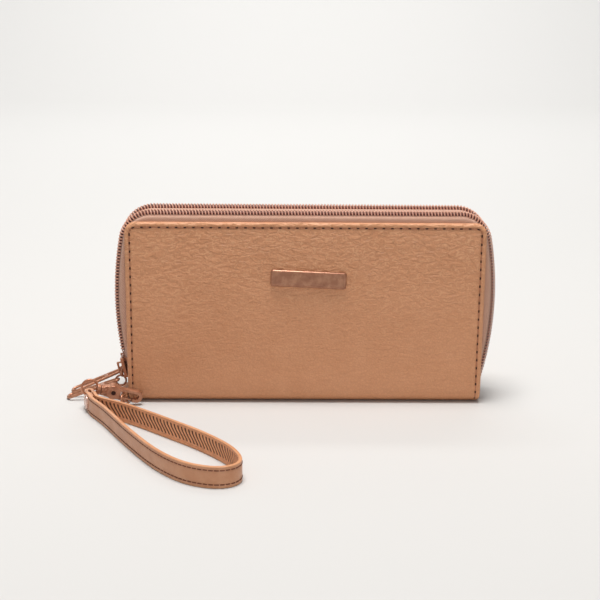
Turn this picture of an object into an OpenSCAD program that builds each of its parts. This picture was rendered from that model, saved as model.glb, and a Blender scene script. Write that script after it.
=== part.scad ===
// A two-compartment zip-around wallet with a wristlet strap, standing on its spine.
// Origin: middle of the flat underside of the spine, on the table.
// +X runs to the wallet's right, +Y to its back, +Z up. All lengths in millimetres.

/* [Covers] */
// Width of each leather cover
cover_w = 190; // [188:1:192]
// Height of the covers' upper edge above the table
cover_top = 99; // [98:0.5:100]
// Thickness of the closed wallet, front face to back face
body_t = 30; // [30:0.5:32]
// Radius of the covers' upper corners
cover_r = 6; // [4:1:10]
// Radius of the spine's two long bottom edges
spine_r = 8; // [7:0.5:8]
// Thickness of the cover leather
leather_t = 1.2; // [1:0.1:1.2]

/* [Zips] */
// Furthest reach of each zip chain from the middle of the wallet
zip_reach = 100; // [99:0.5:101]
// Height of the zip chains along the top
zip_top = 103.2; // [102.5:0.1:104]
// Bulge radius of the chains along the short sides
zip_side_r = 175; // [160:5:220]
// Bend radius of the chains at the upper corners
zip_corner_r = 16; // [14:1:20]
// Width of a closed chain over both rows of teeth
chain_w = 5.6; // [5.2:0.1:5.8]
// Thickness of the teeth
chain_t = 2.2; // [1.8:0.1:2.4]
// Distance of each chain's middle from the wallet's middle plane
chain_y = 8.5; // [8:0.1:8.8]

/* [Pulls] */
// Length of a zip pull from its link
pull_len = 28.5; // [26:0.5:29]
// Width of a zip pull
pull_w = 7.2; // [6:0.2:7.6]

/* [Strap] */
// Width of the wrist strap, which stands on its lower edge
strap_w = 10.5; // [10:0.5:11]
// Thickness of the wrist strap over both layers
strap_t = 2; // [1.8:0.1:2.2]

/* [Badge] */
// Length of the bar badge
badge_w = 40; // [30:1:60]
// Height of the bar badge
badge_h = 9; // [6:1:12]

/* [Hidden] */
$fn = 48;
eps = 0.02;

leather = [0.70, 0.49, 0.37];
cloth = [0.62, 0.45, 0.41];
coil = [0.52, 0.36, 0.33];
metal = [0.74, 0.52, 0.42];
card = [0.86, 0.82, 0.76];

board_t = 0.8;
tape_t = 0.6;
lining_t = 0.6;
face_y = body_t / 2;
board_y = face_y - leather_t;
tape_y = board_y - board_t;
lining_y = tape_y - tape_t;
half_w = cover_w / 2;
base_y = face_y - spine_r;
cover_z = spine_r + 0.4;

// Zip path: side arc, corner arc and top run, in the XZ plane
side_z = 58;
side_cx = zip_reach - zip_side_r;
corner_reach = zip_side_r - zip_corner_r;
corner_cz = zip_top - zip_corner_r;
corner_a = asin((corner_cz - side_z) / corner_reach);
corner_cx = side_cx + corner_reach * cos(corner_a);
zip_low_z = 10;
low_a = asin((zip_low_z - side_z) / zip_side_r);
slot = 1;
row_w = (chain_w - slot) / 2;
chain_out = chain_y + chain_w / 2;
chain_in = chain_y - chain_w / 2;
tape_leg = 8;
flap_y = 1.5;

// Sliders rest low on the left side
slider_z = 19;
slider_a = asin((slider_z - side_z) / zip_side_r);
slider_len = 11;
slider_half = 3.6;
plate_in = chain_t / 2 + 0.3;
plate_t = 1.1;
wire = 1.1;

// Small zip of the coin pocket
coin_z = 72;
coin_y = 5.9;
coin_half = 2.2;
coin_t = 1.6;
coin_x = 78;
coin_home = -66;

// Clasp frame: origin where the swivel meets the body, x to the hook's tip
clasp_at = [-108.3, -23.2, 10.1];
clasp_yaw = 13.4;
clasp_dip = 15.5;
clasp_roll = 12;
eye_r = 4.3;
eye_x = -6;
dee_x = -97.3;
dee_top = 7;
dee_low = 1.1;
dee_back = -10.5;
dee_front = -25.5;

// ---------- helpers ----------

// Revolves a profile of (outward offset, y) about the Y direction through (cx, cz)
module arc_run(cx, cz, r, a0, a1) {
  translate([cx, 0, cz])
    rotate([90, 0, 0])
      rotate_extrude(angle = a1 - a0, start = a0, $fn = 180)
        translate([r, 0]) mirror([0, 1]) children();
}

module right_run(a0 = low_a) {
  arc_run(side_cx, side_z, zip_side_r, a0, corner_a) children();
  arc_run(corner_cx, corner_cz, zip_corner_r, corner_a, 90) children();
}

// Sweeps a profile round both sides and the top; left_a is where the left side starts
module zip_sweep(left_a = low_a) {
  right_run() children();
  mirror([1, 0, 0]) right_run(left_a) children();
  translate([corner_cx, 0, zip_top])
    rotate([0, -90, 0]) linear_extrude(2 * corner_cx) children();
}

module outer_tape_profile() {
  polygon([
    [-tape_leg, -tape_y], [tape_t / 2, -tape_y], [tape_t / 2, -chain_out],
    [-tape_t / 2, -chain_out], [-tape_t / 2, -lining_y], [-tape_leg, -lining_y]
  ]);
}

module inner_tape_profile() {
  polygon([
    [-tape_leg, -flap_y], [-tape_t / 2, -flap_y], [-tape_t / 2, -chain_in],
    [tape_t / 2, -chain_in], [tape_t / 2, 0], [-tape_t / 2, 0],
    [-tape_t / 2, tape_t - flap_y], [-tape_leg, tape_t - flap_y]
  ]);
}

module outer_teeth_profile() {
  translate([-chain_t / 2, -chain_out]) square([chain_t, row_w]);
}

module inner_teeth_profile() {
  translate([-chain_t / 2, -chain_in - row_w]) square([chain_t, row_w]);
}

// Upright panel outline in the XZ plane with rounded upper corners
module panel(half, z0, z1, r, y0, y1) {
  translate([0, y1, 0]) rotate([90, 0, 0]) linear_extrude(y1 - y0) {
    translate([-half, z0]) square([2 * half, z1 - z0 - r]);
    translate([r - half, z0]) square([2 * (half - r), z1 - z0]);
    for (side = [-1, 1]) translate([side * (half - r), z1 - r]) circle(r);
  }
}

module slab(x0, x1, y0, y1, z0, z1) {
  translate([x0, y0, z0]) cube([x1 - x0, y1 - y0, z1 - z0]);
}

// Card pockets: three stacked strips that step down away from their backing
module card_strips(half, y0, step, z0, heights) {
  for (i = [0 : len(heights) - 1])
    slab(-half, half, min(y0 + i * step, y0 + (i + 1) * step),
      max(y0 + i * step, y0 + (i + 1) * step), z0, z0 + heights[i]);
}

module ring(r, w) {
  rotate_extrude($fn = 64) translate([r, 0]) circle(w / 2, $fn = 24);
}

// ---------- covers and spine ----------

// Spine section: flat underside and two rounded edges
module spine_section(inset, top) {
  r = spine_r - inset;
  for (side = [-1, 1]) intersection() {
    translate([side * base_y, spine_r]) circle(r, $fn = 96);
    translate([side > 0 ? base_y : -base_y - r, inset]) square([r, spine_r - inset]);
  }
  translate([-base_y, inset]) square([2 * base_y, spine_r - inset]);
}

module spine_leather() {
  color(leather) translate([-half_w, 0, 0]) rotate([90, 0, 90]) linear_extrude(cover_w)
    difference() {
      spine_section(0);
      spine_section(leather_t);
    }
}

module spine_board() {
  color(card) slab(-half_w + 2, half_w - 2, -base_y, base_y, leather_t, leather_t + board_t);
}

module cover_leather() {
  difference() {
    panel(half_w, cover_z, cover_top, cover_r, -face_y, -tape_y);
    panel(half_w - leather_t, cover_z - 1, cover_top - leather_t, cover_r - leather_t,
      -board_y, -tape_y + 1);
  }
}

module cover_board() {
  panel(half_w - leather_t, cover_z, cover_top - leather_t, cover_r - leather_t,
    -board_y, -tape_y);
}

module cover_lining() {
  panel(half_w - 5, cover_z + 0.6, cover_top - 2, cover_r, -lining_y, lining_t - lining_y);
}

badge_x = 1.5;
badge_z = 69;
badge_t = 1.8;
stud_span = badge_w / 2 - 5;

module on_badge() {
  translate([badge_x, -face_y, badge_z]) rotate([0, 2.5, 0]) children();
}

module stud_holes() {
  on_badge() for (side = [-1, 1])
    translate([side * stud_span, -1, 0]) rotate([-90, 0, 0]) cylinder(h = 6, d = 1.6);
}

module front_leather() {
  color(leather) difference() {
    cover_leather();
    stud_holes();
  }
}

module front_board() {
  color(card) difference() {
    cover_board();
    stud_holes();
  }
}

module front_lining() {
  color(cloth) cover_lining();
}

module front_cards() {
  color(cloth) card_strips(80, lining_t - lining_y, 0.6, 12, [58, 46, 34]);
}

module badge_plate() {
  color(metal) on_badge() translate([-badge_w / 2, -badge_t, -badge_h / 2]) {
    translate([0, 0.6, 0]) cube([badge_w, badge_t - 0.6, badge_h]);
    translate([0.8, 0, 0.8]) cube([badge_w - 1.6, 0.6, badge_h - 1.6]);
  }
}

module badge_studs() {
  color(metal) on_badge() for (side = [-1, 1]) translate([side * stud_span, 0, 0])
    rotate([-90, 0, 0]) {
      cylinder(h = leather_t + board_t, d = 1.6);
      translate([0, 0, leather_t + board_t]) cylinder(h = 0.4, d = 5);
    }
}

module back_leather() {
  color(leather) mirror([0, 1, 0]) cover_leather();
}

module back_board() {
  color(card) mirror([0, 1, 0]) cover_board();
}

module back_lining() {
  color(cloth) mirror([0, 1, 0]) cover_lining();
}

// ---------- zip chains ----------

// The cover's own row starts above the parked slider, where the two rows have parted
parted_a = asin((slider_z + 9 - side_z) / zip_side_r);

module front_outer_tape() {
  color(cloth) zip_sweep() outer_tape_profile();
}

module front_outer_teeth() {
  color(coil) zip_sweep(parted_a) outer_teeth_profile();
}

module front_inner_tape() {
  color(cloth) zip_sweep() inner_tape_profile();
}

module front_inner_teeth() {
  color(coil) zip_sweep() inner_teeth_profile();
}

module rear_outer_tape() {
  mirror([0, 1, 0]) front_outer_tape();
}

module rear_outer_teeth() {
  mirror([0, 1, 0]) front_outer_teeth();
}

module rear_inner_tape() {
  mirror([0, 1, 0]) front_inner_tape();
}

module rear_inner_teeth() {
  mirror([0, 1, 0]) front_inner_teeth();
}

// A clip closes the foot of each inner row
module zip_stops() {
  color(metal) for (front = [0, 1], left = [0, 1])
    mirror([0, front, 0]) mirror([left, 0, 0])
      translate([side_cx, 0, side_z]) rotate([0, -low_a, 0])
        translate([zip_side_r - chain_t / 2, chain_in, -1.6]) cube([chain_t, row_w, 1.6]);
}

// ---------- divider and coin pocket ----------

divider_half = 90;
divider_top = zip_top - 0.7;

module divider_board() {
  color(card) panel(divider_half, leather_t + board_t, divider_top, 12, -0.5, 0.5);
}

module divider_linings() {
  color(cloth) {
    panel(divider_half - 1, leather_t + board_t, divider_top - 1, 12, -0.9, -0.5);
    panel(divider_half - 1, leather_t + board_t, divider_top - 1, 12, 0.5, 0.9);
  }
}

module divider_cards() {
  color(cloth) card_strips(80, -0.9, -0.6, 6, [68, 56, 44]);
}

pocket_y = coin_y - 0.3;
pocket_low = 8;
pocket_high = 84;

// Facing with a slit for the zip, and the walls that join it to the divider
module coin_pocket() {
  color(cloth) difference() {
    slab(-82, 82, 0.9, pocket_y + 0.6, pocket_low, pocket_high);
    slab(-81, 81, 0, pocket_y, pocket_low + 1, pocket_high - 1);
    slab(-coin_x, coin_x, 0, pocket_y + 2, coin_z - 5, coin_z + 5);
  }
}

module coin_tape() {
  color(cloth) for (side = [0, 1]) translate([0, 0, coin_z]) mirror([0, 0, side])
    slab(-coin_x, coin_x, pocket_y, pocket_y + tape_t, coin_half, 5);
}

module coin_teeth() {
  color(coil) for (side = [0, 1]) translate([0, 0, coin_z]) mirror([0, 0, side])
    slab(-coin_x + 1, coin_x - 1, coin_y - coin_t / 2, coin_y + coin_t / 2, slot / 2, coin_half);
}

coin_plate = coin_t / 2 + 0.3;

module coin_slider() {
  color(metal) translate([coin_home, coin_y, coin_z]) {
    slab(-4, 4, coin_plate, coin_plate + 0.8, -3.1, 3.1);
    slab(-4, 4, -coin_plate - 0.8, -coin_plate, -3.1, 3.1);
    slab(-4, -2, -coin_plate - eps, coin_plate + eps, -0.2, 0.2);
    for (side = [-1, 1]) translate([side * 1.9, 0, 0])
      slab(-0.35, 0.35, coin_plate + 0.8 - eps, coin_plate + 2.3, -0.6, 0.6);
    slab(-2.25, 2.25, coin_plate + 2.1, coin_plate + 2.7, -0.6, 0.6);
  }
}

coin_pin_y = coin_y + coin_plate + 1.45;

module coin_pull() {
  color(metal) translate([coin_home, coin_pin_y, coin_z]) {
    cylinder(h = 4.4, d = 0.8, center = true, $fn = 24);
    difference() {
      slab(-0.4, 13, -0.4, 0.4, -2.8, 2.8);
      slab(-1, 3.4, -1, 1, -1.6, 1.6);
      slab(5, 11.4, -1, 1, -1.4, 1.4);
    }
  }
}

// ---------- sliders and pulls ----------

// Frame of a slider: x points away from the wallet's middle, z up along the chain
module at_slider() {
  mirror([1, 0, 0]) translate([side_cx, -chain_y, side_z]) rotate([0, -slider_a, 0])
    translate([zip_side_r, 0, 0]) children();
}

arch_low = 2.6;
arch_gap = 1.9;

module slider_shape() {
  h = slider_len / 2;
  outer = plate_in + plate_t;
  slab(plate_in, outer, -slider_half, slider_half, -h, h);
  slab(-outer, -plate_in, -slider_half, slider_half, -h, h);
  slab(-plate_in - eps, plate_in + eps, -0.2, 0.2, h - 3, h);
  for (side = [0, 1]) mirror([0, side, 0]) for (lip = [0, 1]) mirror([lip, 0, 0])
    slab(0.75, plate_in + eps, -slider_half, -slider_half + 0.45, -h, h);
  for (side = [-1, 1])
    slab(outer - eps, outer + arch_gap + 1, -0.7, 0.7, side * arch_low - 0.4,
      side * arch_low + 0.4);
  slab(outer + arch_gap, outer + arch_gap + 1, -0.7, 0.7, -arch_low, arch_low);
}

module front_slider() {
  color(metal) at_slider() slider_shape();
}

module rear_slider() {
  mirror([0, 1, 0]) front_slider();
}

// Where a link hangs in the slider's arch, and where the pull hangs in the link
link_x = -98.7;
link_z = 17;
hook_r = 1.9;
loop_r = 2.8;
loop_x = link_x - 0.7;
loop_z = link_z - 2 * hook_r - loop_r + 0.2;
pull_x = loop_x - loop_r;
pull_dip = 20;

module front_link() {
  color(metal) {
    translate([link_x, -chain_y, link_z - hook_r]) rotate([0, 90, 0]) ring(hook_r, wire);
    translate([loop_x, -chain_y, loop_z]) rotate([90, 0, 0]) ring(loop_r, wire);
  }
}

module rear_link() {
  mirror([0, 1, 0]) front_link();
}

// Outline of a pull: x runs down its length from the link
module pull_outline() {
  end_r = pull_w / 2;
  top_r = 2.4;
  circle(top_r);
  translate([pull_len - end_r, 0]) circle(end_r);
  polygon([[0, -top_r], [pull_len - end_r, -end_r], [pull_len - end_r, end_r], [0, top_r]]);
}

module slot_2d(x0, x1, r) {
  translate([x0 + r, 0]) circle(r);
  translate([x1 - r, 0]) circle(r);
  translate([x0 + r, -r]) square([x1 - x0 - 2 * r, 2 * r]);
}

module pull_shape() {
  linear_extrude(1.6, center = true) difference() {
    pull_outline();
    slot_2d(-1.2, 6.5, 1.3);
    slot_2d(9, pull_len - 1.6, 2);
  }
}

module front_pull() {
  color(metal) translate([pull_x, -chain_y, loop_z]) rotate([0, -pull_dip, 0])
    rotate([0, 0, 180]) pull_shape();
}

// The rear pull lies skewed towards the front one
rear_skew = 15;

module rear_pull() {
  color(metal) translate([pull_x, chain_y, loop_z]) rotate([0, 0, rear_skew])
    rotate([0, -pull_dip, 0]) rotate([0, 0, 180]) pull_shape();
}

// ---------- ring tab, ring and clasp ----------

tab_low = leather_t + board_t;
tab_high = 6;

// Folded leather tab on the left end of the spine, wrapped round the ring's straight side
module ring_tab() {
  color(leather) {
    difference() {
      slab(dee_x - 1.7, dee_x + 1.7, dee_back - 1.7, 2, tab_low, tab_high);
      translate([dee_x, dee_back, 0]) cylinder(h = 10, d = 1.5);
    }
    slab(dee_x + 1.7 - eps, -half_w, -6, -1.2, tab_low, tab_high);
    slab(-half_w - eps, 10 - half_w, -6, -1.2, tab_low, tab_low + 1.4);
  }
}

module bar(from, to, d) {
  v = to - from;
  len = norm(v);
  translate(from) rotate([0, acos(v[2] / len), atan2(v[1], v[0])]) cylinder(h = len, d = d, $fn = 24);
}

// Ring of round wire in an upright plane: straight back, half-round front
module d_ring() {
  r = (dee_top - dee_low) / 2;
  mid = (dee_top + dee_low) / 2;
  color(metal) {
    bar([dee_x, dee_back, dee_low], [dee_x, dee_back, dee_top], 1.3);
    bar([dee_x, dee_back, dee_low], [dee_x, dee_front + r, dee_low], 1.3);
    bar([dee_x, dee_back, dee_top], [dee_x, dee_front + r, dee_top], 1.3);
    for (z = [dee_low, dee_top]) translate([dee_x, dee_back, z]) sphere(d = 1.3, $fn = 24);
    translate([dee_x, dee_front + r, mid]) rotate([0, -90, 0])
      rotate_extrude(angle = 180, start = 180, $fn = 64) translate([r, 0]) circle(0.65, $fn = 24);
  }
}

module at_clasp() {
  translate(clasp_at) rotate([0, 0, clasp_yaw]) rotate([0, clasp_dip, 0])
    rotate([clasp_roll, 0, 0]) children();
}

// Draws a 2-D outline in the clasp's own plane, x along it and y up
module clasp_plate(t) {
  rotate([90, 0, 0]) linear_extrude(t, center = true) children();
}

pivot = [6.5, 0.6];
collar_d = 5.8;
ball_x = -3.2;

module clasp_outline() {
  difference() {
    union() {
      translate(pivot) circle(3.9);
      polygon([[1, -2.6], [6.5, -3.2], [12, -2.4], [12, 3.4], [6.5, 4.4], [1, 2.6]]);
      translate([13, 0]) circle(3.4);
      translate([19.2, 0]) circle(3.4);
      translate([13, -3.4]) square([6.2, 6.8]);
    }
    translate([0, 0.2]) slot_2d(9.6, 20.6, 1.7);
    translate([9.8, -6]) square([7.7, 5]);
  }
}

module clasp_body() {
  color(metal) at_clasp() {
    difference() {
      union() {
        clasp_plate(2.8) clasp_outline();
        clasp_plate(4.6) translate(pivot) circle(3.9);
        rotate([0, 90, 0]) cylinder(h = 1.6, d = collar_d);
        translate([1.6 - eps, 0, 0]) rotate([0, 90, 0]) cylinder(h = 2, d = 4.6);
      }
      clasp_plate(1.6) {
        translate([0, 0.2]) slot_2d(9.6, 17, 1.7);
        translate([4, -8]) square([14.5, 8.2]);
        translate(pivot) circle(2.4);
      }
      translate([pivot[0], 0, pivot[1]]) rotate([90, 0, 0])
        cylinder(h = 10, d = 1.6, center = true);
    }
    translate([ball_x, 0, 0]) rotate([0, 90, 0]) cylinder(h = eps - ball_x, d = 1.4);
    translate([ball_x, 0, 0]) sphere(r = 1);
  }
}

module clasp_pin() {
  color(metal) at_clasp() translate([pivot[0], 0, pivot[1]]) rotate([90, 0, 0])
    cylinder(h = 4.9, d = 1.6, center = true);
}

// Gate that closes the hook, with its thumb piece below
module clasp_lever() {
  color(metal) at_clasp() difference() {
    union() {
      clasp_plate(1) translate(pivot) circle(2);
      clasp_plate(1) polygon([[4.7, 0.5], [8.3, 0.5], [9, -1.5], [17.2, -2], [17.2, -3],
        [13.6, -3.1], [17.2, -4.3], [16.4, -5.1], [12.6, -3.9], [5, -3.6], [4.4, -2.4]]);
    }
    clasp_plate(2) translate(pivot) circle(0.85);
  }
}

module clasp_spring() {
  color(metal) at_clasp() translate([4, 0, -1.2]) rotate([0, 90, 0])
    cylinder(h = 0.3, d = 0.9, $fn = 24);
}

// Collar and bow that turn on the clasp's post; the bow hangs upright at rest
module swivel_eye() {
  color(metal) at_clasp() rotate([-clasp_roll, 0, 0]) difference() {
    union() {
      translate([-2.1, 0, 0]) rotate([0, 90, 0]) cylinder(h = 1.8, d = collar_d);
      translate([eye_x, 0, 0]) rotate([90, 0, 0]) ring(eye_r, 1.2);
    }
    translate([-5, 0, 0]) rotate([0, 90, 0]) cylinder(h = 8, d = 1.6);
    slab(-0.3, 4, -4, 4, -5, 5);
  }
}

// ---------- wrist strap ----------

// The strap folds tightly where it hangs on the eye: middle, outer radius and heading of the fold
fold_at = [-114.75, -22];
fold_r = 2.5;
fold_aim = -72;
aim = [cos(fold_aim), sin(fold_aim)];
across = [-aim[1], aim[0]];

// Point at a distance along the fold's heading and across it
function by_fold(along, side) = fold_at + along * aim + side * across;

// Points that the outer face passes through on the table, from the fold round to the fold
strap_knots = [
  by_fold(0, -fold_r), by_fold(4, -fold_r), by_fold(8, -fold_r), by_fold(11, -fold_r),
  by_fold(16, -2.05), by_fold(22, -0.75), by_fold(29, 0.8),
  [-101.5, -56], [-87, -85], [-72, -111], [-58, -127], [-44, -133.5], [-34, -131],
  [-30.5, -122], [-36, -106], [-50, -87], [-69.5, -67],
  by_fold(46, 23.5), by_fold(36, 18), by_fold(27.5, 12.8), by_fold(21.5, 8.4),
  by_fold(17, 4.9), by_fold(13.7, 2.98), by_fold(11, fold_r), by_fold(8, fold_r),
  by_fold(4, fold_r), by_fold(0, fold_r)
];
strap_steps = 5;

// Knot i, with one more beyond each end that keeps the fold's heading
function knot(i) =
  i < 0 ? by_fold(-4, -fold_r)
  : i >= len(strap_knots) ? by_fold(-4, fold_r)
  : strap_knots[i];

// Catmull-Rom point between knots i and i + 1
function strap_point(i, t) =
  let (a = knot(i - 1), b = knot(i), c = knot(i + 1), d = knot(i + 2))
  0.5 * (2 * b + (c - a) * t + (2 * a - 5 * b + 4 * c - d) * t * t
    + (3 * b - a - 3 * c + d) * t * t * t);

strap_line = [
  for (i = [0 : len(strap_knots) - 2], s = [0 : strap_steps - 1]) strap_point(i, s / strap_steps),
  for (a = [0 : 20 : 160]) fold_at + fold_r * (cos(a) * across - sin(a) * aim)
];

// The strap's line moved inwards by a distance
function inward(gap) =
  let (n = len(strap_line))
  [for (i = [0 : n - 1])
    let (v = strap_line[(i + 1) % n] - strap_line[(i + n - 1) % n])
    strap_line[i] + gap * [-v[1], v[0]] / norm(v)];

rivet_out = 6.6;
eyelet_out = 2.8;
eyelet_z = 7.8;

// Frame on the strap's outer face beyond the fold, z running through all layers
module at_fold(out, z) {
  translate([fold_at[0], fold_at[1], z]) rotate([0, 0, fold_aim + 90])
    translate([-fold_r, -out, 0]) rotate([0, 90, 0]) children();
}

module rivet_hole() {
  at_fold(rivet_out, strap_w / 2) translate([0, 0, -1]) cylinder(h = 8, d = 2.4);
}

module strap_cuts() {
  rivet_hole();
  at_fold(eyelet_out, eyelet_z) translate([0, 0, -2]) cylinder(h = 10, d = 2.8);
  at_fold(0, 0) translate([-20, -5.2, -2]) cube([20 - strap_w + 0.85, 9, 10]);
}

module strap_band(from, to, low, high) {
  difference() {
    translate([0, 0, low]) linear_extrude(high - low) difference() {
      polygon(inward(from));
      polygon(inward(to));
    }
    strap_cuts();
  }
}

module strap_leather() {
  color(leather) strap_band(0, strap_t / 2, 0.1, strap_w);
}

module strap_lining() {
  color(cloth) strap_band(strap_t / 2, strap_t, 0.9, strap_w - 0.8);
}

// Folded-in end of the strap, held between the two branches by the rivet
module strap_tail() {
  t = 2 * (fold_r - strap_t) - 0.2;
  color(leather) difference() {
    at_fold(0, 0) translate([0.8 - strap_w, -11, strap_t + 0.1])
      cube([strap_w - 1.6, 6.2, t]);
    rivet_hole();
  }
}

module strap_rivet() {
  color(metal) at_fold(rivet_out, strap_w / 2) {
    translate([0, 0, -0.95]) cylinder(h = 0.9, d = 8);
    translate([0, 0, -0.1]) cylinder(h = 2 * fold_r + 0.2, d = 2.4);
    translate([0, 0, 2 * fold_r + 0.05]) cylinder(h = 0.6, d = 5);
  }
}

spine_leather();
spine_board();
front_leather();
front_board();
front_lining();
front_cards();
badge_plate();
badge_studs();
back_leather();
back_board();
back_lining();
front_outer_tape();
front_outer_teeth();
front_inner_tape();
front_inner_teeth();
rear_outer_tape();
rear_outer_teeth();
rear_inner_tape();
rear_inner_teeth();
zip_stops();
divider_board();
divider_linings();
divider_cards();
coin_pocket();
coin_tape();
coin_teeth();
coin_slider();
coin_pull();
front_slider();
rear_slider();
front_link();
rear_link();
front_pull();
rear_pull();
ring_tab();
d_ring();
clasp_body();
clasp_pin();
clasp_lever();
clasp_spring();
swivel_eye();
strap_leather();
strap_lining();
strap_tail();
strap_rivet();
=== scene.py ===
"""Looks of a two-compartment zip-around wallet with a wristlet strap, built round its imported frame.

Shapes are worked out in millimetres in the frame's own axes (+X right, -Y front, +Z up) as
whole numpy arrays, and turned into metres when a mesh is made.
"""

from __future__ import annotations

import logging
import math
from dataclasses import dataclass
from enum import Enum

import bmesh
import bpy
import numpy as np
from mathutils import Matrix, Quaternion, Vector

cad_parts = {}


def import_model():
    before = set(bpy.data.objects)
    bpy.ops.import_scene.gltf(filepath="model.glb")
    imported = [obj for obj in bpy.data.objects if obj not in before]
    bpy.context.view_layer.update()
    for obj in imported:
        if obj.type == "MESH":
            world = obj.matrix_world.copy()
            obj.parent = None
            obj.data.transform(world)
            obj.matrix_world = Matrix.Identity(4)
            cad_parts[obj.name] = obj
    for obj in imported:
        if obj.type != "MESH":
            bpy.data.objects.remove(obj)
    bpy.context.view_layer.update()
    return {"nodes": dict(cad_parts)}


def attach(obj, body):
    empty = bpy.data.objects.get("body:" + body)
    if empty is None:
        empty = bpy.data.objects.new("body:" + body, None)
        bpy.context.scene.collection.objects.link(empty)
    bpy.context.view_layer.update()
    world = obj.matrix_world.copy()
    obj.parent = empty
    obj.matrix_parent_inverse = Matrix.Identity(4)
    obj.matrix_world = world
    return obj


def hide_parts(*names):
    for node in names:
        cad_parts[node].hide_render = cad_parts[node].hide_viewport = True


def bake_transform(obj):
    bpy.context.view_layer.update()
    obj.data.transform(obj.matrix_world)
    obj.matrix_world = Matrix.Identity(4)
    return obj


LOG = logging.getLogger("wallet")
MM = 0.001
Array = np.ndarray
Shape = tuple[Array, list]
Material = bpy.types.Material
Piece = bpy.types.Object
Socket = bpy.types.NodeSocket
ALONG_X = np.array([1.0, 0.0, 0.0])
ALONG_Y = np.array([0.0, 1.0, 0.0])
ALONG_Z = np.array([0.0, 0.0, 1.0])


class Side(Enum):
    """Which half of the wallet a piece belongs to; the value is the sign of Y."""

    FRONT = -1
    REAR = 1

    @property
    def word(self) -> str:
        """The side's name as used in node and piece names."""
        return "front" if self is Side.FRONT else "rear"

    @property
    def cover(self) -> str:
        """The body of the cover on this side."""
        return "front_cover" if self is Side.FRONT else "back_cover"


class Ends(Enum):
    """How a tube's two ends are finished."""

    ROUND = "round"
    JOINED = "joined"


# ---------- numpy shapes ----------


def unit(v: Array) -> Array:
    """Vectors scaled to length one along the last axis."""
    return v / np.maximum(np.linalg.norm(v, axis=-1, keepdims=True), 1e-12)


def ramp(value: Array, start: float, end: float) -> Array:
    """0 at start and 1 at end, straight between them and level beyond."""
    return np.clip((value - start) / (end - start), 0, 1)


def bell(value: Array, middle: float, width: float) -> Array:
    """1 at the middle, fading out to both sides."""
    return np.exp(-(((value - middle) / width) ** 2))


def full_turn(count: int) -> Array:
    """Evenly spaced angles round a circle, in radians."""
    return np.arange(count) * 2 * math.pi / count


def turn(axis: str, degrees: float) -> Array:
    """Rotation matrix about a frame axis, for column vectors.

    Args:
        axis: "x", "y" or "z".
        degrees: Angle, anticlockwise seen from the axis's far end.

    Returns:
        A 3 by 3 matrix.
    """
    c, s = math.cos(math.radians(degrees)), math.sin(math.radians(degrees))
    rows = {
        "x": [[1, 0, 0], [0, c, -s], [0, s, c]],
        "y": [[c, 0, s], [0, 1, 0], [-s, 0, c]],
        "z": [[c, -s, 0], [s, c, 0], [0, 0, 1]],
    }
    return np.array(rows[axis], float)


def grid_quads(rows: int, cols: int, join_rows: bool = False, join_cols: bool = False) -> Array:
    """Quads of a rows by cols grid of vertices, optionally closed either way."""
    r = np.arange(rows if join_rows else rows - 1)
    c = np.arange(cols if join_cols else cols - 1)
    rr, cc = np.meshgrid(r, c, indexing="ij")
    r1, c1 = (rr + 1) % rows, (cc + 1) % cols
    quads = np.stack([rr * cols + cc, r1 * cols + cc, r1 * cols + c1, rr * cols + c1], -1)
    return quads.reshape(-1, 4)


def capped_grid(rows: int, cols: int) -> list:
    """Faces of a tube with rows outlines of cols points each and a cap at both ends."""
    last = (rows - 1) * cols
    caps = [list(range(cols)), list(range(last, last + cols))[::-1]]
    return grid_quads(rows, cols, join_cols=True).tolist() + caps


def distances(path: Array) -> Array:
    """Distance of each point of a polyline from its first, along the line."""
    return np.concatenate([[0.0], np.cumsum(np.linalg.norm(np.diff(path, axis=0), axis=1))])


def path_length(path: Array) -> float:
    """Length of an open polyline."""
    return float(distances(path)[-1])


def resample(path: Array, stations: Array) -> Array:
    """Points on a polyline at given distances along it, by linear interpolation."""
    s = distances(path)
    return np.stack([np.interp(stations, s, path[:, k]) for k in range(path.shape[1])], -1)


def heading(path: Array, stations: Array, step: float = 0.3) -> Array:
    """Unit direction of a polyline at given distances along it, from a step to each side."""
    return unit(resample(path, stations + step) - resample(path, stations - step))


def frames_along(path: Array, ref: Array, closed: bool) -> tuple[Array, Array, Array]:
    """Tangent, normal and binormal along a path.

    The normal is the part of ref square to the tangent, and the binormal is tangent x normal.

    Args:
        path: Points, one row each.
        ref: A direction, or one per point, that is never along the path.
        closed: Whether the last point joins the first.

    Returns:
        Three arrays of unit vectors.
    """
    if closed:
        t = unit(np.roll(path, -1, 0) - np.roll(path, 1, 0))
    else:
        t = unit(np.gradient(path, axis=0))
    ref = np.broadcast_to(np.asarray(ref, float), path.shape)
    n = unit(ref - (ref * t).sum(1, keepdims=True) * t)
    return t, n, np.cross(t, n)


def sweep(path: Array, ref: Array, profile: Array, closed: bool) -> Shape:
    """Carries a closed profile along a path: point = path + a * normal + b * binormal.

    Args:
        path: Points of the path.
        ref: Direction, or one per point, that gives the profile's first axis.
        profile: Closed outline of (a, b) points, or one outline per path point.
        closed: Whether the path is a loop.

    Returns:
        Vertices and faces; open paths get end caps.
    """
    _, n, b = frames_along(path, ref, closed)
    prof = np.broadcast_to(profile, (len(path),) + profile.shape[-2:])
    verts = path[:, None] + prof[..., :1] * n[:, None] + prof[..., 1:] * b[:, None]
    rows, cols = prof.shape[:2]
    faces = grid_quads(rows, cols, True, True).tolist() if closed else capped_grid(rows, cols)
    return verts.reshape(-1, 3), faces


def round_profile(radius: float, sides: int) -> Array:
    """Circle outline of (a, b) points."""
    a = full_turn(sides)
    return radius * np.stack([np.cos(a), np.sin(a)], -1)


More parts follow.
